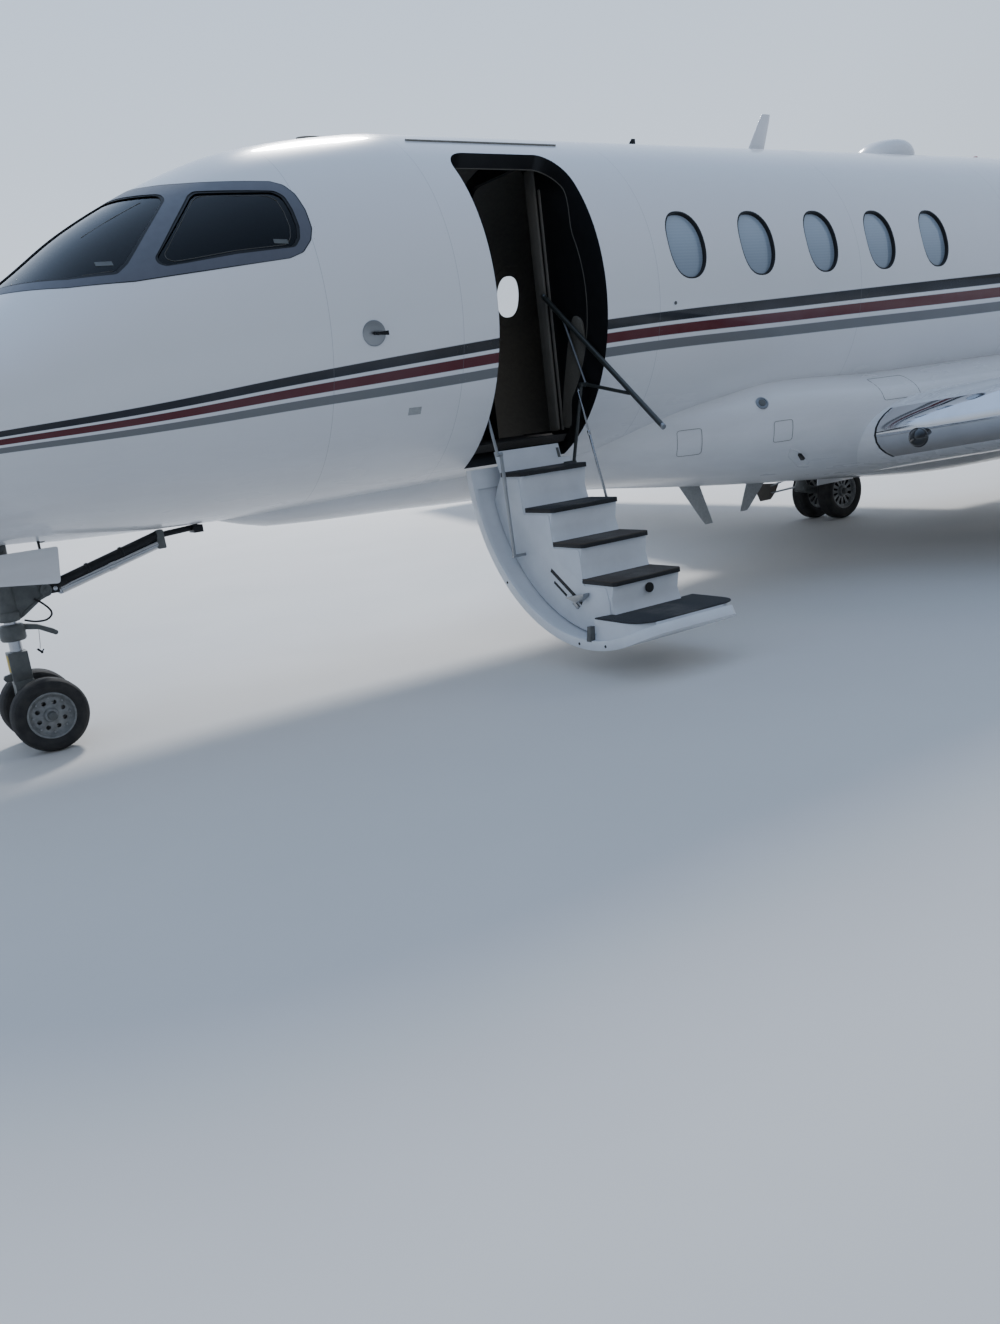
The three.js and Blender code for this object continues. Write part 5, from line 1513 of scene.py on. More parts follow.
class Pattern:
    """A Geometry Nodes group in the making, with named inputs for its sizes."""

    def __init__(self, name, **inputs):
        self.tree = bpy.data.node_groups.new(name, "GeometryNodeTree")
        face = self.tree.interface
        self.keys = {}
        for label, kind in (("Geometry", "Geometry"), *inputs.items(), ("Finish", "Material")):
            socket = face.new_socket(name=label, in_out="INPUT", socket_type=f"NodeSocket{kind}")
            self.keys[label] = socket.identifier
        face.new_socket(name="Geometry", in_out="OUTPUT", socket_type="NodeSocketGeometry")
        self.given = self.tree.nodes.new("NodeGroupInput").outputs

    def node(self, kind, inputs, output=0, **settings):
        """Any node: its type, the values or links of its inputs, its output and its settings."""
        node = self.tree.nodes.new(kind)
        for key, value in settings.items():
            setattr(node, key, value)
        for key, value in inputs.items():
            if isinstance(value, bpy.types.NodeSocket):
                self.tree.links.new(value, node.inputs[key])
            else:
                node.inputs[key].default_value = value
        return node.outputs[output] if node.outputs else None

    def finish(self, copies):
        """Makes the copies real, gives them their finish and ends the group."""
        real = self.node("GeometryNodeRealizeInstances", {0: copies})
        dressed = self.node(
            "GeometryNodeSetMaterial", {"Geometry": real, "Material": self.given["Finish"]})
        self.node("NodeGroupOutput", {0: dressed})

    def settle(self, obj, **values):
        """Makes the pattern on an object and keeps it as a plain mesh."""
        step = obj.modifiers.new("pattern", "NODES")
        step.node_group = self.tree
        for label, value in values.items():
            step[self.keys[label]] = value
        return settle(obj)


def repeated(name, shape, count, finish, centre, axis="x"):
    """Copies of a shape round an axis through a centre. The shape is made round the X axis."""
    ring = Pattern(f"{name}_pattern", Count="Int")
    line = ring.node("GeometryNodeMeshLine", {"Count": ring.given["Count"], "Offset": (0, 0, 0)})
    index = ring.node("GeometryNodeInputIndex", {})
    share = ring.node("ShaderNodeMath", {0: index, 1: ring.given["Count"]}, operation="DIVIDE")
    turn = ring.node("ShaderNodeMath", {0: share, 1: 2 * math.pi}, operation="MULTIPLY")
    spin = ring.node("ShaderNodeCombineXYZ", {"X": turn})
    ring.finish(ring.node("GeometryNodeInstanceOnPoints",
                          {"Points": line, "Instance": ring.given["Geometry"], "Rotation": spin}))
    obj = form(name, shape, use(finish))
    ring.settle(obj, Count=count, Finish=FINISHES[finish])
    quarter = Matrix.Rotation(math.radians(90), 4, "Z") if axis == "y" else Matrix.Identity(4)
    obj.data.transform(Matrix.Translation(centre) @ quarter)
    return shade(obj)


class JET_OT_engines(bpy.types.Operator):
    """Build the engines: nacelle, lip, pylon, fan, core and nozzle"""

    bl_idname = "jet.engines"
    bl_label = "Engines"

    def execute(self, context):
        e, r = ENGINE, ENGINE["radius"]
        duct = 0.85 * r
        skin = smooth_profile(
            [(0.90 * r, 0.005), (0.955 * r, -0.11), (0.99 * r, -0.38), (r, -0.75), (0.992 * r, -1.5),
             (0.955 * r, -2.1), (0.90 * r, -2.5), (0.82 * r, -2.9), (0.745 * r, -3.25)], 5)
        inside = [(0.715 * r, -3.25), (0.76 * r, -2.9), (0.82 * r, -2.4), (duct, -2.1), (duct, -0.6)]
        inside += smooth_profile(
            [(duct, -0.5), (0.80 * r, -0.32), (0.745 * r, -0.13), (0.735 * r, -0.06)], 4)
        lip = smooth_profile(
            [(0.735 * r, -0.06), (0.742 * r, -0.015), (0.77 * r, 0.02), (0.81 * r, 0.034),
             (0.855 * r, 0.028), (0.90 * r, 0.005)], 5)
        for name, side in SIDES:
            centre = (at(e["ahead"]), side * e["y"], e["z"])
            shape = Shape().turned(skin + inside + lip[1:-1], centre, steps=96)
            count = len(skin + inside + lip[1:-1])
            lip_from = len(skin + inside) - 1
            for i in range(len(shape.faces)):
                band = i // 96
                if band >= lip_from or band == count - 1:
                    shape.kinds[i] = 1
                elif band >= len(skin) - 1:
                    shape.kinds[i] = 2 if band > len(skin) + 3 else 3
            obj = form(
                f"nacelle_skin_{name}", shape, use("white", "polished", "jamb", "exhaust"), angle=40)
            place(obj, "airframe", "paint", f"nacelle_{name}")
            pylon = Shape()
            rings = []
            for y in np.linspace(0.70, 1.30, 5):
                slim = 1 - 0.08 * (y - 0.7) / 1.06
                ring = aerofoil(2.3 * slim, 0.10, at(e["ahead"] - 0.5))
                rings.append([(x, side * y, e["z"] - 0.06 + v) for x, v in ring])
            pylon.rings(rings)
            piece(f"pylon_{name}", pylon, "white", angle=50)

            core = smooth_profile(
                [(0.0, -0.9), (0.20 * r, -0.9), (0.36 * r, -0.905), (0.46 * r, -1.05), (0.51 * r, -1.3),
                 (0.52 * r, -2.3), (0.44 * r, -2.65), (0.34 * r, -2.95), (0.20 * r, -3.18),
                 (0.12 * r, -3.31), (0.05 * r, -3.362)], 4)
            core = [(0.0, -0.9)] + core[1:] + [(0.0, -3.369)]
            piece(f"core_{name}", Shape().turned(core, centre, steps=64), "exhaust", "dark_metal",
                  node=f"engine_core_{name}")
            vane = Shape().rings([[(x, v * 0.5, z) for x, v in aerofoil(0.12, 0.12, -1.06, 0.0)]
                                  for z in (0.25, 0.4955)])
            place(repeated(f"stators_{name}", vane, 32, "trim", centre), "airframe", "fan_metal")
            nozzle = [(0.70 * r, -3.22), (0.712 * r, -3.262), (0.704 * r, -3.268), (0.69 * r, -3.22),
                      (0.735 * r, -2.9), (0.75 * r, -2.9)]
            piece(f"nozzle_{name}", Shape().turned(nozzle, centre, steps=72), "exhaust", "dark_metal")

            rows = []
            for i in range(9):
                t = i / 8
                z = 0.135 + (duct - 0.017 - 0.135) * t
                twist = math.radians(30 + 32 * t)
                chord = 0.13 + 0.035 * t - 0.02 * t * t
                lean = 0.02 * math.sin(math.pi * t)
                ring = []
                for x, v in aerofoil(chord, 0.055, chord / 2, 0.0, CHORD_STEPS[::2]):
                    bow = 0.012 * (1 - (2 * x / chord) ** 2)
                    ring.append(((x * math.cos(twist) - (v * 0.7 + bow) * math.sin(twist)) - 0.62,
                                 x * math.sin(twist) + (v * 0.7 + bow) * math.cos(twist) + lean, z))
                rows.append(ring)
            count = context.scene.jet_sizes.fan_blades
            place(repeated(f"blades_{name}", Shape().rings(rows), count, "fan", centre), f"fan_{name}",
                  "fan_metal", f"fan_{name}")
            hub = smooth_profile([(0.003, -0.301), (0.03, -0.315), (0.075, -0.37), (0.115, -0.45),
                                  (0.142, -0.55), (0.15, -0.65), (0.15, -0.76)], 4)
            hub = [(0.0, -0.30)] + hub + [(0.055, -0.762), (0.055, -0.8997), (0.0, -0.8997)]
            piece(f"spinner_{name}", Shape().turned(hub, centre, steps=56), "trim", "fan_metal",
                  f"fan_{name}")
        return {"FINISHED"}


# Fin and tailplane at their two ends: leading edge ahead and chord
FIN_FOOT, FIN_TOP, FIN_Z = (-10.5, 3.0), (-12.64, 1.78), (2.9, 6.38)
FIN_THICK = 0.085
RUDDER = (4.18, 6.15, 0.72)
TAIL_MIDDLE, TAIL_TIP, TAIL_HALF = (-12.08, 1.9), (-13.12, 1.0), 3.7
TAIL_Z = 4.02
TAIL_THICK = 0.09
ELEVATOR_HINGE = -13.48
ELEVATOR = (0.24, 3.52)


def fin_at(z):
    """Lead and chord of the fin at a height."""
    return lerp((z - FIN_Z[0]) / (FIN_Z[1] - FIN_Z[0]), FIN_FOOT, FIN_TOP)


def fin_rings():
    """Rings of the fin, rounded at its top."""
    rings = []
    for z, thin in ((2.90, 1), (3.4, 1), (4.18, 1), (5.2, 1), (6.15, 1), (6.23, 1), (6.28, 0.95),
                    (6.33, 0.82), (6.365, 0.6), (6.3795, 0.35)):
        lead, chord = fin_at(z)
        rings.append([(x, y, z) for x, y in aerofoil(chord, FIN_THICK * thin, at(lead))])
    return rings


def tail_at(y):
    """Lead and chord of the tailplane at a station."""
    return lerp(abs(y) / TAIL_HALF, TAIL_MIDDLE, TAIL_TIP)


def tail_rings():
    """Rings of the tailplane from tip to tip."""
    rings = []
    for y in (-3.6995, -3.685, -3.65, -3.59, -3.52, -2.0, -0.24, 0, 0.24, 2.0, 3.52, 3.59, 3.65, 3.685,
              3.6995):
        lead, chord = tail_at(y)
        thin = TAIL_THICK * math.sqrt(max(0.03, 1 - max(0.0, (abs(y) - 3.59) / 0.11) ** 2.2))
        rings.append([(x, y, TAIL_Z + v) for x, v in aerofoil(chord, thin, at(lead))])
    return rings


class JET_OT_tail(bpy.types.Operator):
    """Build the fin, rudder, tailplane and elevators"""

    bl_idname = "jet.tail"
    bl_label = "Tail"

    def execute(self, context):
        low, high, share = RUDDER
        ends = []
        for z in (low, high):
            lead, chord = fin_at(z)
            ends.append(
                (Vector((at(lead - chord * share), 0, z)), thickness(share, FIN_THICK) * chord + 0.002))
        (a, ra), (b, rb) = ends

        def rudder_tool(gap):
            outline = [
                (a.x, low + gap), (b.x, high - gap), (at(-15.5), high - gap), (at(-15.5), low + gap)]
            return form("tool", Shape().prism("y", outline, -0.3, 0.3))

        fin = form("fin_skin", Shape().rings(fin_rings()), use("white"), angle=50)
        cut(fin, [rudder_tool(0.0), hinge_bar(a, b, (ra, rb), 0.008)])
        place(shade(fin, 40), "airframe", "paint", "fin")
        rudder = form("rudder_skin", Shape().rings(fin_rings()), use("white"), angle=50)
        cut(rudder, [rudder_tool(END_GAP)], "INTERSECT")
        place(shade(rudder, 40), "rudder", "paint", "rudder")
        way = (b - a).normalized()
        nose = Shape().tube([a + way * 0.036, b - way * 0.036], [ra, rb], 28)
        nose.tube([a + way * 0.001, b - way * 0.001], 0.010, 12)
        piece("rudder_nose", nose, "white", body="rudder")

        plane = form("tailplane_skin", Shape().rings(tail_rings()), use("white"), angle=50)
        hinge_x = at(ELEVATOR_HINGE)
        tools = []
        for name, side in SIDES:
            ends = []
            for y in ELEVATOR:
                lead, chord = tail_at(y)
                half = thickness((lead - ELEVATOR_HINGE) / chord, TAIL_THICK) * chord + 0.002
                ends.append((Vector((hinge_x, side * y, TAIL_Z)), half))
            (a, ra), (b, rb) = ends
            tools += [form("tool", Shape().box((at(-15.5), min(a.y, b.y), 3.7),
                                               (hinge_x, max(a.y, b.y), 4.3))),
                      hinge_bar(a, b, (ra, rb), 0.008)]
            flap = form(f"elevator_skin_{name}", Shape().rings(tail_rings()), use("white"), angle=50)
            y0, y1 = sorted((side * (ELEVATOR[0] + END_GAP), side * (ELEVATOR[1] - END_GAP)))
            cut(flap, [form("tool", Shape().box((at(-15.5), y0, 3.7), (hinge_x, y1, 4.3)))],
                "INTERSECT")
            place(shade(flap, 40), "elevators", "paint", f"elevator_{name}")
            nose = Shape().tube(
                [(hinge_x, side * 0.254, TAIL_Z), (hinge_x, side * 3.506, TAIL_Z)], [ra, rb], 28)
            nose.tube([(hinge_x, side * 0.241, TAIL_Z), (hinge_x, side * 3.519, TAIL_Z)], 0.010, 12)
            piece(f"elevator_nose_{name}", nose, "white", body="elevators")
        cut(plane, tools)
        place(shade(plane, 40), "airframe", "paint", "tailplane")
        beacon = Shape().turned(
            [(0, 0), (0.035, 0.0), (0.033, 0.03), (0.022, 0.052), (0, 0.06)],
            (at(-6.1), 0, RADIUS + AXIS_Z - 0.008), (0, 0, 1), 28)
        piece("crown_beacon", beacon, "red_lens")
        return {"FINISHED"}


# Landing gear


def tyre_profile(tyre, rim, width, grooves):
    """Radius and distance pairs of a tyre's section, closed."""
    w = width / 2
    half = [(rim * 1.01, w * 0.70), (rim * 1.06, w * 0.80), (rim + (tyre - rim) * 0.30, w * 0.955),
            (rim + (tyre - rim) * 0.50, w * 1.0), (rim + (tyre - rim) * 0.70, w * 0.965),
            (rim + (tyre - rim) * 0.86, w * 0.84), (tyre * 0.985, w * 0.63), (tyre * 0.9965, w * 0.5)]
    crown = []
    for g in grooves:
        crown += [(tyre, w * (g + 0.035)), (tyre - 0.006, w * (g + 0.025)),
                  (tyre - 0.006, w * (g - 0.025)), (tyre, w * (g - 0.035))]
    outer = half + crown
    return outer + [(r, -s) for r, s in outer[::-1]]


def rim_profile(rim, width, hub, dish):
    """Radius and distance pairs of a wheel's section, closed; dish is how deep its disc sits."""
    w = width / 2
    face = [
        (rim * 1.055, w * 0.74), (rim * 1.07, w * 0.80), (rim * 1.03, w * 0.84),
        (rim * 0.985, w * 0.80), (rim * 0.95, w * 0.66), (rim * 0.90, w * dish + 0.008),
        (rim * 0.80, w * dish), (rim * 0.46, w * dish + 0.004), (hub * 1.25, w * dish + 0.006),
        (hub * 1.1, w * 0.70), (hub, w * 0.74), (hub * 0.55, w * 0.75)]
    back = [(hub * 0.55, -w * 0.60), (rim * 0.40, -w * 0.60), (rim * 0.82, -w * 0.45),
            (rim * 0.95, -w * 0.60), (rim * 1.03, -w * 0.82), (rim * 1.055, -w * 0.74)]
    return face + back


# A wheel disc's holes, as shares of the rim: how many, the bolts' circle, and an outline round
# the hole's own middle or, for slots, from the hub
NOSE_HOLES, MAIN_HOLES = (8, 0.80), (12, 0.88)
SLOT = ((0.42, -0.045), (0.84, -0.105), (0.84, 0.105), (0.42, 0.045))


def wheel(name, centre, size, body, node, outward, pattern):
    """A wheel with its tyre, pierced rim, hub cap and bolts."""
    tyre, rim, width = size
    count, bolt_circle = pattern
    way, half, hub = (0, outward, 0), width * 0.5, rim * 0.27
    rubber = Shape().turned(tyre_profile(tyre, rim, width, (0.42, 0.14)), centre, way, 96)
    piece(f"{name}_tyre", rubber, "tyre", "tyre", body, node=node, angle=25)
    finishes = use("rim", "reveal")
    metal = form(
        f"{name}_rim", Shape().turned(rim_profile(rim, width, hub, 0.36), centre, way, 80), finishes)
    # Painted shade: the holes' walls take the near black reveal finish.
    holes = Shape()
    for i in range(count):
        t = 2 * math.pi * (i + 0.5) / count
        c, s = math.cos(t), math.sin(t)
        if pattern == MAIN_HOLES:
            ring = rounded([(rim * u, rim * v) for u, v in SLOT], rim * 0.06, 4)
            ring = [(u * c - v * s, u * s + v * c) for u, v in ring]
        else:
            ring = [(rim * 0.60 * c + rim * 0.105 * math.cos(a),
                     rim * 0.60 * s + rim * 0.105 * math.sin(a)) for a in around(20)]
        ring = [(centre[0] + u, centre[2] + v) for u, v in ring]
        holes.prism("y", ring, centre[1] - half, centre[1] + half, 1)
    cut(metal, [form("holes", holes, finishes)])
    place(metal, body, "tyre")
    cap = Shape().turned(
        [(0, 0.018), (hub * 0.5, 0.017), (hub * 0.72, 0.012), (hub * 0.78, 0.0), (0, 0.0)],
        (centre[0], centre[1] + outward * width * 0.5 * 0.72, centre[2]), way, 40)
    piece(f"{name}_cap", cap, "gear", "tyre", body, angle=25)
    bolt = Shape().turned(
        [(0, 0.012), (rim * 0.038, 0.011), (rim * 0.042, 0.0), (0, 0.0)], (0, 0, rim * bolt_circle),
        (outward, 0, 0), 6)
    middle = (centre[0], centre[1] + outward * (width * 0.5 * 0.36 + 0.004), centre[2])
    place(repeated(f"{name}_bolts", bolt, count, "steel", middle, "y"), body, "tyre")


FOLD_PIN = (at(2.455), 0.841)
BRACE_PIN = (at(2.405), 0.841)
NOSE = {"strut": 2.66, "axle": 2.59, "size": (0.198, 0.118, 0.14), "y": 0.175}
MAIN = {"leg": -5.19, "axle": -5.574, "size": (0.28, 0.168, 0.165), "y": 1.42, "twin": 0.165}


class JET_OT_nose_gear(bpy.types.Operator):
    """Build the nose gear: leg, piston, links, brace, door, hose and wheels"""

    bl_idname = "jet.nose_gear"
    bl_label = "Nose gear"

    def leg(self, x):
        """The fixed leg with its casting, lug and hose."""
        leg = Shape()
        leg.turned(
            [(0.0, 0.705), (0.050, 0.705), (0.061, 0.713), (0.061, 0.755), (0.052, 0.762),
             (0.052, 0.99), (0.061, 1.0), (0.061, 1.185), (0.0, 1.185)], (x, 0, 0), (0, 0, 1), 40)
        leg.bars(cross(x, 1.12, 0.185, 0.032, 24))
        casting = [(at(2.430), 0.812), (at(2.430), 0.868), (at(2.49), 0.880), (at(2.60), 0.948),
                   (x, 0.95), (x, 0.708), (at(2.60), 0.714), (at(2.49), 0.790)]
        leg.prism("y", rounded(casting, 0.02), -0.026, 0.026)
        window = spots(((2.475, 0.815), (2.50, 0.858), (2.585, 0.905), (2.585, 0.745)))
        frames = (([casting[0], casting[1], *spots(((2.46, 0.873), (2.46, 0.80)))], 0.012),
                  ([casting[7], window[0], window[3], casting[6]], 0.006),
                  ([casting[2], casting[3], window[2], window[1]], 0.006))
        for y0, y1 in ((-0.033, -0.025), (0.025, 0.033)):
            for outline, radius in frames:
                leg.prism("y", rounded(outline, radius), y0, y1)
        leg.bars(cross(*FOLD_PIN, 0.044, 0.031, 24), cross(*FOLD_PIN, 0.053, 0.014, 6))
        piece("nose_leg", leg, "gear", "gear_metal", node="nose_gear_leg", bevel=0.002)
        path = [(2.524, 0.806), (2.488, 0.775), (2.456, 0.735), (2.453, 0.704), (2.485, 0.682),
                (2.54, 0.684), (2.593, 0.702)]
        hose = Shape().tube(curve_points([(at(a), 0.036, z) for a, z in path], 8), 0.0055, 10)
        piece("nose_hose", hose, "seal", "gear_metal")

    def fork(self, x, axle, tyre):
        """The turning part: piston, collar, fork block, axle, tow lug and steering arm."""
        piston = Shape().turned(
            [(0, 0.41), (0.033, 0.41), (0.033, 0.6995), (0, 0.6995)], (x, 0, 0), (0, 0, 1), 40)
        piece("nose_piston", piston, "chrome", "polished_metal", "nose_steering", node="nose_gear_fork")
        yoke = Shape()
        yoke.turned([(0.0335, 0.60), (0.060, 0.60), (0.067, 0.612), (0.067, 0.672), (0.058, 0.688),
                     (0.0335, 0.688)], (x, 0, 0), (0, 0, 1), 40)
        yoke.box((at(2.613), -0.048, 0.368), (at(2.713), 0.048, 0.54))
        outline = rounded(
            [(axle - 0.045, tyre - 0.04), (x + 0.02, tyre - 0.045), (at(2.71), 0.30), (at(2.71), 0.385),
             (at(2.612), 0.385), (axle - 0.045, tyre + 0.05)], 0.02)
        yoke.prism("y", outline, -0.052, 0.052)
        yoke.bars(cross(axle, tyre, NOSE["y"] + 0.088, 0.022, 24))
        lug = ((2.705, 0.384), (2.748, 0.388), (2.756, 0.404), (2.748, 0.419), (2.705, 0.428))
        yoke.prism("y", rounded(spots(lug), 0.006), -0.014, 0.014)
        arm = ((2.616, 0.686), (2.531, 0.666), (2.452, 0.624), (2.432, 0.602), (2.448, 0.588),
               (2.531, 0.636), (2.616, 0.652))
        yoke.prism("y", rounded(spots(arm), 0.01), -0.020, 0.020)
        yoke.bars(cross(at(2.449), 0.604, 0.026, 0.014, 20))
        piece("nose_yoke", yoke, "gear", "gear_metal", "nose_steering", bevel=0.003)
        strip = Shape().box((at(2.7125), -0.030, 0.435), (at(2.7150), 0.030, 0.525))
        piece("fork_strip", strip, "yellow", "gear_metal", "nose_steering")
        hung = Shape().tube(
            [(at(2.531), 0.024, 0.640), (at(2.540), 0.026, 0.56), (at(2.546), 0.027, 0.532)], 0.0015, 6)
        hung.bars(((at(2.535), 0.027, 0.508), (at(2.560), 0.027, 0.534), 0.006, 12),
                  ((at(2.527), 0.027, 0.528), (at(2.545), 0.027, 0.506), 0.0035, 8))
        piece("steering_pin", hung, "dark", "gear_metal", "nose_steering")

    def brace(self):
        """The folding brace behind the leg: a thick upper tube and a thin lower one."""
        brace = Shape()
        brace.box((at(2.382), -0.024, 0.815), (at(2.4292), 0.024, 0.867))
        brace.bars(cross(*BRACE_PIN, 0.034, 0.020, 20),
                   ((at(2.388), 0, 0.858), (at(2.34), 0, 0.873), 0.028, 24),
                   ((at(2.357), 0, 0.873), (at(1.79), 0, 1.037), 0.026, 28))
        for a in (2.212, 2.017):
            rise = (2.212 - a) * 0.289
            brace.bars(((at(a + 0.008), 0, 0.914 + rise), (at(a - 0.008), 0, 0.919 + rise), 0.030, 28))
        brace.bars(((at(1.80), 0, 1.031), (at(1.56), 0, 1.047), 0.017, 20))
        brace.box((at(1.545), -0.05, 1.015), (at(1.60), 0.05, 1.058))
        piece("brace_barrel", brace, "dark", "polished_metal", node="nose_gear_brace", bevel=0.002)
        rod = Shape().bars(
            ((at(2.372), 0, 0.827), (at(1.80), 0, 0.985), 0.026, 24),
            cross(*BRACE_PIN, 0.039, 0.012, 20), cross(at(2.375), 0.822, 0.014, 0.019, 20),
            ((at(2.10), 0, 0.9022), (at(2.06), 0, 0.9132), 0.0295, 24))
        piece("brace_rod", rod, "chrome", "polished_metal", bevel=0.001)
        bracket = Shape().prism(
            "y", rounded([(at(1.765), 0.955), (at(1.815), 0.955), (at(1.808), 1.06), (at(1.77), 1.065)],
                         0.01), -0.026, 0.026)
        piece("brace_bracket", bracket, "gear", "polished_metal", bevel=0.003)

    def execute(self, context):
        x, axle, tyre = at(NOSE["strut"]), at(NOSE["axle"]), NOSE["size"][0]
        self.leg(x)
        self.fork(x, axle, tyre)
        self.brace()
        panel = ((2.382, 1.075), (2.386, 1.045), (2.412, 0.885), (2.705, 0.918), (2.93, 0.955),
                 (2.958, 1.075))
        door = Shape().prism("y", rounded(spots(panel), 0.02), 0.0, 0.015)
        hinge_y, hinge_z, lean = 0.196, 1.14, 0.192
        door.points = [(x, y + hinge_y + (hinge_z - z) * lean, z) for x, y, z in door.points]
        piece("nose_door", door, "white", node="nose_gear_door", bevel=0.003)
        hinges = Shape()
        for a in (2.47, 2.67, 2.87):
            hinges.tube([(at(a - 0.03), 0.206, 1.132), (at(a + 0.03), 0.206, 1.132)], 0.008, 12)
            hinges.prism("x", [(0.186, 1.136), (0.203, 1.136), (0.216, 1.03), (0.205, 1.03)],
                         at(a) - 0.006, at(a) + 0.006)
        piece("nose_door_hinges", hinges, "dark", "gear_metal", bevel=0.001)
        for name, side in SIDES:
            wheel(f"nose_{name}", (axle, side * NOSE["y"], tyre), NOSE["size"], "nose_wheels",
                  f"nose_wheel_{name}", side, NOSE_HOLES)
        return {"FINISHED"}


class JET_OT_main_gear(bpy.types.Operator):
    """Build the main gear: legs, trailing arms, struts, doors and wheels"""

    bl_idname = "jet.main_gear"
    bl_label = "Main gear"

    def execute(self, context):
        tyre = MAIN["size"][0]
        for name, side in SIDES:
            x, back, y = at(MAIN["leg"]), at(MAIN["axle"]), side * MAIN["y"]
            leg = Shape()
            leg.turned(
                [(0.0, 0.335), (0.05, 0.335), (0.060, 0.345), (0.062, 0.40), (0.052, 0.43),
                 (0.052, 0.74), (0.060, 0.77), (0.060, 0.90), (0, 0.90)], (x, y, 0), (0, 0, 1), 36)
            leg.bars(cross(x, 0.36, 0.07, 0.040, 28, y), cross(x, 0.36, 0.075, 0.018, 16, y))
            leg.tube([(x, y, 0.36), (back + 0.08, y, tyre + 0.012), (back, y, tyre)],
                     [0.044, 0.036, 0.036], 24)
            leg.bars(cross(back, tyre, 0.07, 0.040, 24, y))
            leg.tube([(back, y - MAIN["twin"] - 0.088, tyre), (back, y + MAIN["twin"] + 0.088, tyre)],
                     0.026, 24)
            leg.prism("y", rounded([(x + 0.05, 0.5), (x + 0.055, 0.8), (x + 0.012, 0.86),
                                    (x + 0.0, 0.45)], 0.01), y - 0.025, y + 0.025)
            piece(f"main_leg_{name}", leg, "gear", "gear_metal", node=f"main_gear_leg_{name}",
                  bevel=0.002)
            strut = Shape()
            low, high = Vector((back + 0.09, y, 0.31)), Vector((x - 0.03, y, 0.82))
            strut.bars((low.lerp(high, 0.42), high, 0.034, 28),
                       (low.lerp(high, 0.40), low.lerp(high, 0.44), 0.038, 28))
            piece(f"main_strut_{name}", strut, "gear", "gear_metal", bevel=0.001)
            piston = Shape().tube([low, low.lerp(high, 0.45)], 0.024, 28)
            piston.tube([low + Vector((0, -0.04, 0)), low + Vector((0, 0.04, 0))], 0.020, 20)
            piece(f"main_piston_{name}", piston, "chrome", "gear_metal")
            door = Shape()
            y0 = side * 1.06
            door.prism("x", [(y0, 0.62), (y0 + side * 0.014, 0.62), (y0 + side * 0.05, 0.40),
                             (y0 + side * 0.036, 0.40)], at(-5.60), at(-5.06))
            piece(f"main_door_{name}", door, "white", bevel=0.003)
            link = Shape().tube(
                [(at(-5.2), y0 + side * 0.03, 0.46), (x, y - side * 0.05, 0.62)], 0.010, 12)
            piece(f"main_door_link_{name}", link, "steel", "gear_metal")
            panel = (
                (-4.809, 0.456), (-5.188, 0.416), (-5.126, 0.328), (-5.051, 0.264), (-4.898, 0.264))
            leg_door = Shape().prism("y", rounded(spots(panel), 0.02), side * 1.714, side * 1.728)
            piece(f"leg_door_{name}", leg_door, "leg_panel", bevel=0.003)
            links = Shape()
            for z0, z1 in ((0.50, 0.40), (0.38, 0.33)):
                links.tube([(x + 0.03, y + side * 0.03, z0), (at(-5.06), side * 1.7145, z1)], 0.010, 12)
            piece(f"leg_door_links_{name}", links, "steel", "gear_metal")
            for word, offset in (("inner", -side), ("outer", side)):
                wheel(f"main_{name}_{word}", (back, y + offset * MAIN["twin"], tyre), MAIN["size"],
                      f"main_wheels_{name}", f"main_wheel_{name}_{word}", offset, MAIN_HOLES)
        return {"FINISHED"}


BLADE_THICK = 0.026
COVER_STEP = 0.04
WICK = (0.0035, 8)


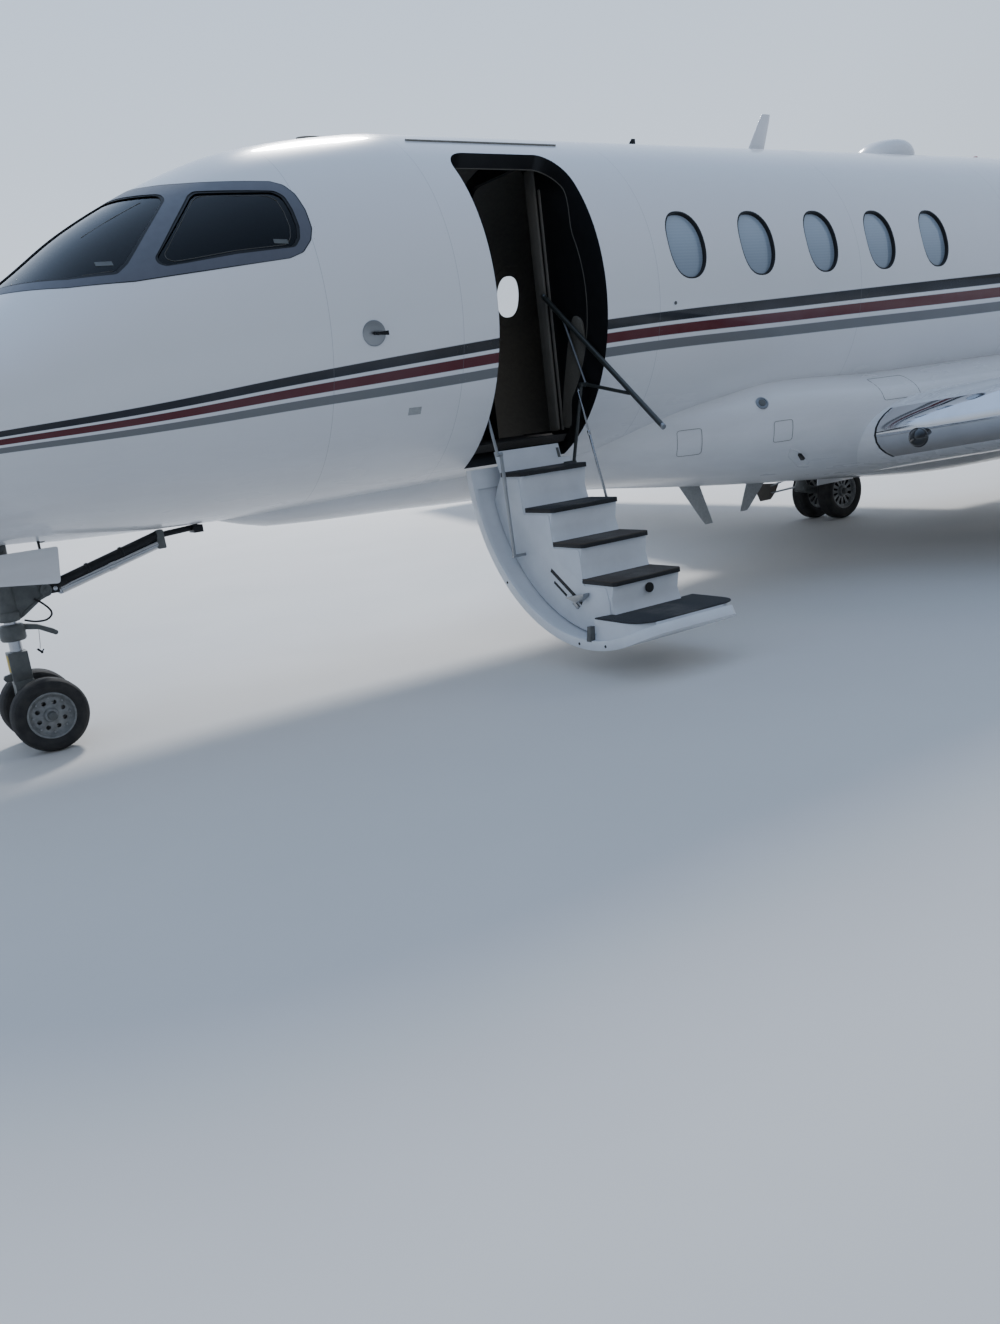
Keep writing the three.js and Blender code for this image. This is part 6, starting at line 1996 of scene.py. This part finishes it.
class JET_OT_fittings(bpy.types.Operator):
    """Build the aerials, probes, port, static wicks and small plates on the skin"""

    bl_idname = "jet.fittings"
    bl_label = "Small fittings"

    def blade(self, name, root, tip, chords, finish, node):
        """A blade aerial between two places ahead and up, with its chord at each."""
        rings = []
        for i in range(7):
            t = i / 6
            ahead, z = root[0] + (tip[0] - root[0]) * t, root[1] + (tip[1] - root[1]) * t
            chord = (chords[0] + (chords[1] - chords[0]) * t) * (1 if i < 6 else 0.9)
            thick = BLADE_THICK * (1 - 0.4 * t)
            rings.append(
                [(at(ahead) + chord / 2 * math.cos(a), thick / 2 * math.sin(a), z) for a in around(28)])
        piece(name, Shape().rings(rings), finish, node=node, angle=50, bevel=0.002)

    def execute(self, context):
        crown = AXIS_Z + RADIUS
        for row in (
                ("crown_blade", (-3.24, crown - 0.02), (-3.40, crown + 0.29), (0.19, 0.10), "white",
                 "crown_blade_aerial"),
                ("belly_blade_forward", (-2.285, 0.80), (-2.487, 0.436), (0.226, 0.092), "plate",
                 "belly_aerial_forward"),
                ("belly_blade_aft", (-3.08, 0.75), (-2.88, 0.48), (0.26, 0.09), "plate",
                 "belly_aerial_aft")):
            self.blade(*row)
        skirt = smooth_profile(
            [(0.01, 3.3118), (0.10, 3.305), (0.175, 3.285), (0.225, 3.24), (0.246, 3.19),
             (0.248, 3.15)], 5)
        dome = [(0.0, 3.312), *skirt, (0.248, 3.10), (0, 3.10)]
        piece("crown_dome", Shape().turned(dome, (at(-4.8), 0, 0), (0, 0, 1), 56), "white",
              node="crown_dome_aerial")
        bases = Shape()
        for ahead, long, wide in (
                (-3.24, 0.15, 0.04), (-2.0, 0.07, 0.025), (0.47, 0.10, 0.05), (-2.73, 0.11, 0.06)):
            ring = [(at(ahead) + long * math.cos(a), wide * math.sin(a)) for a in around(32)]
            bases.prism("z", ring, crown - 0.01, crown + 0.005)
        piece("crown_bases", bases, "jamb", bevel=0.002)
        whip = Shape().rings(
            [[(at(-2.0 - 0.03 * t) + c * math.cos(a), 0.008 * math.sin(a) * (1 - 0.5 * t),
               crown + 0.075 * t) for a in around(16)]
             for t, c in ((0, 0.045), (0.5, 0.033), (1, 0.018))])
        piece("crown_whip", whip, "dark", bevel=0.001)
        base, way = skin_axis(hull_spot, 0.782, 1.957)
        probe = Shape().turned(
            [(0, -0.004), (0.066, -0.004), (0.066, 0.003), (0.060, 0.005), (0, 0.005)], base, way, 40)
        piece("vane_disc", probe, "trim", bevel=0.001)
        vane = Shape().tube([base, base + way * 0.055], 0.009, 14)
        tip = base + way * 0.041
        outline = ((0.012, 0.006), (0.012, -0.006), (-0.065, -0.012), (-0.065, 0.012))
        vane.rings(
            [[tip + way * out + Vector((dx, 0, dz)) for dx, dz in outline] for out in (0, 0.006)])
        piece("vane", vane, "dark", bevel=0.001)

        base, way = skin_axis(fairing_spot, -2.12, 1.334)
        port = Shape().turned(
            [(0, -0.006), (0.046, -0.006), (0.046, 0.002), (0.040, 0.0045), (0.034, 0.0045),
             (0.033, 0.001), (0, 0.001)], base, way, 40)
        piece("service_port", port, "trim", angle=25)
        plug = Shape().turned(
            [(0, 0.0), (0.026, 0.0), (0.026, 0.0035), (0.022, 0.005), (0, 0.005)], base, way, 32)
        plug.turned([(0, -0.003), (0.011, -0.003), (0.011, 0.003), (0, 0.003)],
                    *skin_axis(hull_spot, -1.327, 2.011), 20)
        piece("service_caps", plug, "gear")
        fin = Shape()
        outline = ((-2.434, 0.958), (-2.445, 0.941), (-2.512, 0.899), (-2.508, 0.914))
        fin.rings([[fairing_spot(a, z, out) for a, z in outline] for out in (-0.01, 0.030)])
        piece("drain_fin", fin, "dark", bevel=0.003)
        lip = Shape()
        outline = ((-2.34, 1.0), (-2.42, 0.975), (-2.60, 0.885), (-2.62, 0.86), (-2.54, 0.86),
                   (-2.36, 0.945), (-2.34, 1.0))
        lip.tube([fairing_spot(a, z, 0.001) for a, z in outline], 0.006, 10)
        piece("drain_lip", lip, "white")

        covers = Shape()
        for a0, a1, z0, z1 in ((-1.67, -1.52, 1.05, 1.22), (-2.33, -2.18, 1.06, 1.20),
                               (-3.6, -3.2, 1.24, 1.40), (-6.4, -6.0, 1.1, 1.35)):
            corners = rounded([(a0, z0), (a1, z0), (a1, z1), (a0, z1)], 0.02, 4)
            loop = [*corners, corners[0]]
            for (u0, v0), (u1, v1) in zip(loop, loop[1:]):
                steps = max(1, math.ceil(math.hypot(u1 - u0, v1 - v0) / COVER_STEP))
                run = [
                    (u0 + (u1 - u0) * k / steps, v0 + (v1 - v0) * k / steps) for k in range(steps + 1)]
                covers.tube([fairing_spot(u, v, 0.0002) for u, v in run], 0.0016, 6)
        for name, side in SIDES:
            piece(f"cover_lines_{name}", covers, "jamb", side=side)
        label = Shape()
        corners = [(0.48, 1.525), (0.56, 1.525), (0.56, 1.563), (0.48, 1.563)]
        label.rings([[hull_spot(u, v, inset) for u, v in corners] for inset in (-0.0012, 0.002)])
        piece("skin_label", label, "plate")
        wicks = Shape()
        for y, share in ((10.6, 0.99), (10.9, 0.93)):
            lead, chord, z, _ = wing_at(y)
            root = at(lead - chord * share)
            for side in (1, -1):
                wicks.bars(((root + 0.01, side * y, z), (root - 0.12, side * y, z - 0.004), *WICK))
        for y in (2.6, 3.4):
            lead, chord = tail_at(y)
            for side in (1, -1):
                wicks.bars(((at(lead - chord * 0.985), side * y, TAIL_Z),
                            (at(lead - chord) - 0.12, side * y, TAIL_Z), *WICK))
        piece("static_wicks", wicks, "dark")
        return {"FINISHED"}


HEAD_RADIUS = 0.005
HEAD_DEPTH = 0.0042


def fasteners(name, paths, pitch):
    """Rows of flush fastener heads along paths that lie just under the skin."""
    points, edges = [], []
    for path in paths:
        start = len(points)
        points += [tuple(p) for p in path]
        edges += [(i, i + 1) for i in range(start, start + len(path) - 1)]
    mesh = bpy.data.meshes.new(name)
    mesh.from_pydata(points, edges, [])
    obj = bpy.data.objects.new(name, mesh)
    bpy.context.scene.collection.objects.link(obj)

    row = Pattern(f"{name}_pattern", Pitch="Float", Radius="Float")
    path = row.node("GeometryNodeMeshToCurve", {"Mesh": row.given["Geometry"]})
    spread = row.node(
        "GeometryNodeResampleCurve", {"Curve": path, "Length": row.given["Pitch"]}, mode="LENGTH")
    head = row.node("GeometryNodeMeshIcoSphere", {"Radius": row.given["Radius"], "Subdivisions": 1})
    row.finish(row.node("GeometryNodeInstanceOnPoints", {"Points": spread, "Instance": head}))
    row.settle(obj, Pitch=pitch, Radius=HEAD_RADIUS, Finish=FINISHES["head"])
    place(shade(obj, 60), "airframe", "paint")


class JET_OT_fasteners(bpy.types.Operator):
    """Set rows of flush fasteners along the skin joints, round the openings and along the wings"""

    bl_idname = "jet.fasteners"
    bl_label = "Fasteners"

    def execute(self, context):
        pitch = context.scene.jet_sizes.rivet_pitch
        rows = []
        for ahead in (NOSE_JOINT, 0.235, FORWARD_JOINT, AFT_JOINT, -8.7, -10.4):
            for offset in (0.02, -0.02):
                rows.append(
                    [hull_point(ahead + offset, math.radians(a), HEAD_DEPTH) for a in range(-60, 241, 3)
                     if ahead + offset > DOOR["fore"] + 0.03 or ahead + offset < DOOR["aft"] - 0.03])
        fasteners("joint_fasteners", [row for row in rows if row], pitch)
        r = RADIUS - HEAD_DEPTH
        doorway = [(x, r * math.cos(t), AXIS_Z + r * math.sin(t)) for x, t in door_edge(-60, 0.028)]
        surround = []
        middle = Vector((1.6, 2.55))
        for p in rounded(MASK, PANE_ROUND, 4):
            q = Vector(p) + (Vector(p) - middle).normalized() * 0.022
            if q.y < hull_section(q.x)[1] - 0.02:
                surround.append(hull_spot(q.x, q.y, HEAD_DEPTH))
        fasteners("opening_fasteners", [doorway], pitch * 0.75)
        for name, side in SIDES:
            mirror = Matrix.Diagonal((1, side, 1))
            fasteners(
                f"surround_fasteners_{name}", [[mirror @ Vector(p) for p in surround]], pitch * 0.6)
            rows = []
            for share in (0.12, 0.16, 0.60, 0.66):
                for up in (1, -1):
                    row = []
                    for y in np.linspace(1.35, 10.7, 40):
                        lead, chord, z, thick = wing_at(y)
                        half = thickness(share, thick) * chord + 0.002 - HEAD_DEPTH
                        row.append((at(lead - share * chord), side * y, z + up * half))
                    rows.append(row)
            fasteners(f"wing_fasteners_{name}", rows, pitch)
        return {"FINISHED"}


FLOOR_HALF, FLOOR_Z = 140.0, -0.002
# The sky's colours by height, and how its strength falls from the key light's side to the other
SKY_STOPS = ((0.0, (0.78, 0.82, 0.86)), (0.05, (0.80, 0.89, 1.0)), (0.7, (0.46, 0.62, 0.90)))
SKY_LEAN = -0.8
SKY_FALL = {"From Min": -0.8, "From Max": 0.5, "To Min": 1.75, "To Max": 0.42}
SKY_STRENGTH = 0.72
# Name, place, aim, watts and width
LIGHTS = (
    ("key_light", (-5, -20, 20), (2, 2, 0), 8000, 5),
    ("fill_light", (12, 17, 9), (1, 0, 1.5), 260, 9),
    ("back_light", (-16, 10, 12), (-2, 0, 2), 500, 8),
)
CAMERA_PLACE = (at(3.4965), 6.2082, 1.476)
CAMERA_TURN = {"yaw": 32.058, "pitch": -13.023, "roll": -6.948}
CAMERA_SIDE = 36.0


class Sky(Finish):
    """The light all round in the making."""

    def __init__(self, scene, name):
        scene.world = bpy.data.worlds.new(name)
        scene.world.use_nodes = True
        self.tree = scene.world.node_tree
        self.shader = self.tree.nodes["Background"]


class JET_OT_stage(bpy.types.Operator):
    """Set up the floor, the soft light and the camera"""

    bl_idname = "jet.stage"
    bl_label = "Stage"

    def light(self, context):
        """The sky and the lamps."""
        sky = Sky(context.scene, "soft_sky")
        way = sky.node("ShaderNodeTexCoord", output="Generated")
        y, z = (sky.node("ShaderNodeSeparateXYZ", None, [way], output=k) for k in (1, 2))
        tone = sky.node("ShaderNodeValToRGB", {"stops": SKY_STOPS}, [z])
        fall = sky.node(
            "ShaderNodeMapRange", None, {"Value": z.math("MULTIPLY_ADD", SKY_LEAN, y)} | SKY_FALL)
        lit = sky.node("ShaderNodeVectorMath", {"operation": "SCALE"}, {0: tone, "Scale": fall})
        sky.feed({"Color": lit, "Strength": SKY_STRENGTH})
        for name, where, aim, power, width in LIGHTS:
            data = bpy.data.lights.new(name, "AREA")
            data.shape, data.size, data.energy = "DISK", width, power
            lamp = bpy.data.objects.new(name, data)
            lamp.location = where
            lamp.rotation_mode = "QUATERNION"
            lamp.rotation_quaternion = (Vector(aim) - Vector(where)).to_track_quat("-Z", "Y")
            lamp.visible_camera = False
            lamp.visible_glossy = name == "key_light"
            context.scene.collection.objects.link(lamp)

    def camera(self, context):
        """The camera, where the photograph was taken from."""
        data = bpy.data.cameras.new("camera")
        data.sensor_width, data.lens = CAMERA_SIDE, context.scene.jet_sizes.lens
        data.clip_start, data.clip_end = 0.05, 500
        camera = bpy.data.objects.new("camera", data)
        yaw, pitch, roll = (math.radians(a) for a in CAMERA_TURN.values())
        flat = math.cos(pitch)
        forward = Vector((-math.sin(yaw) * flat, -math.cos(yaw) * flat, math.sin(pitch)))
        level = Vector((-math.cos(yaw), math.sin(yaw), 0))
        above = level.cross(forward)
        right = level * math.cos(roll) + above * math.sin(roll)
        up = above * math.cos(roll) - level * math.sin(roll)
        turn = Matrix((right, up, -forward)).transposed().to_4x4()
        camera.matrix_world = Matrix.Translation(CAMERA_PLACE) @ turn
        context.scene.collection.objects.link(camera)
        context.scene.camera = camera

    def execute(self, context):
        finish = mottled("studio_floor", (0.62, 0.605, 0.58), 0.75, scale=0.8, depth=0.015, grain=0.0)
        s = FLOOR_HALF
        floor = Shape().add([(-s, -s, 0), (s, -s, 0), (s, s, 0), (-s, s, 0)], [(0, 1, 2, 3)])
        floor = form("studio_floor", floor, [finish])
        floor.location.z = FLOOR_Z
        self.light(context)
        self.camera(context)
        return {"FINISHED"}


class JET_PT_panel(bpy.types.Panel):
    """The jet's sizes, colours and pieces"""

    bl_label = "Jet"
    bl_idname = "JET_PT_panel"
    bl_space_type = "VIEW_3D"
    bl_region_type = "UI"
    bl_category = "Jet"

    def draw(self, context):
        for group in (context.scene.jet_sizes, context.scene.jet_colours):
            for name in group.__annotations__:
                self.layout.prop(group, name)
        for piece in PIECES:
            self.layout.operator(piece.bl_idname)


PIECES = (JET_OT_fuselage, JET_OT_doorway, JET_OT_cockpit, JET_OT_windows, JET_OT_airstair,
          JET_OT_wings, JET_OT_fairing, JET_OT_engines, JET_OT_tail, JET_OT_nose_gear,
          JET_OT_main_gear, JET_OT_fittings, JET_OT_fasteners, JET_OT_stage)
CLASSES = (JetColours, JetSizes, *PIECES, JET_PT_panel)


def register():
    for cls in CLASSES:
        bpy.utils.register_class(cls)
    bpy.types.Scene.jet_colours = PointerProperty(type=JetColours)
    bpy.types.Scene.jet_sizes = PointerProperty(type=JetSizes)


def unregister():
    del bpy.types.Scene.jet_sizes, bpy.types.Scene.jet_colours
    for cls in reversed(CLASSES):
        bpy.utils.unregister_class(cls)


def main():
    """Builds every piece in order."""
    register()
    build_finishes(bpy.context.scene.jet_colours)
    for piece in PIECES:
        group, name = piece.bl_idname.split(".")
        getattr(getattr(bpy.ops, group), name)()


if __name__ == "__main__":
    main()
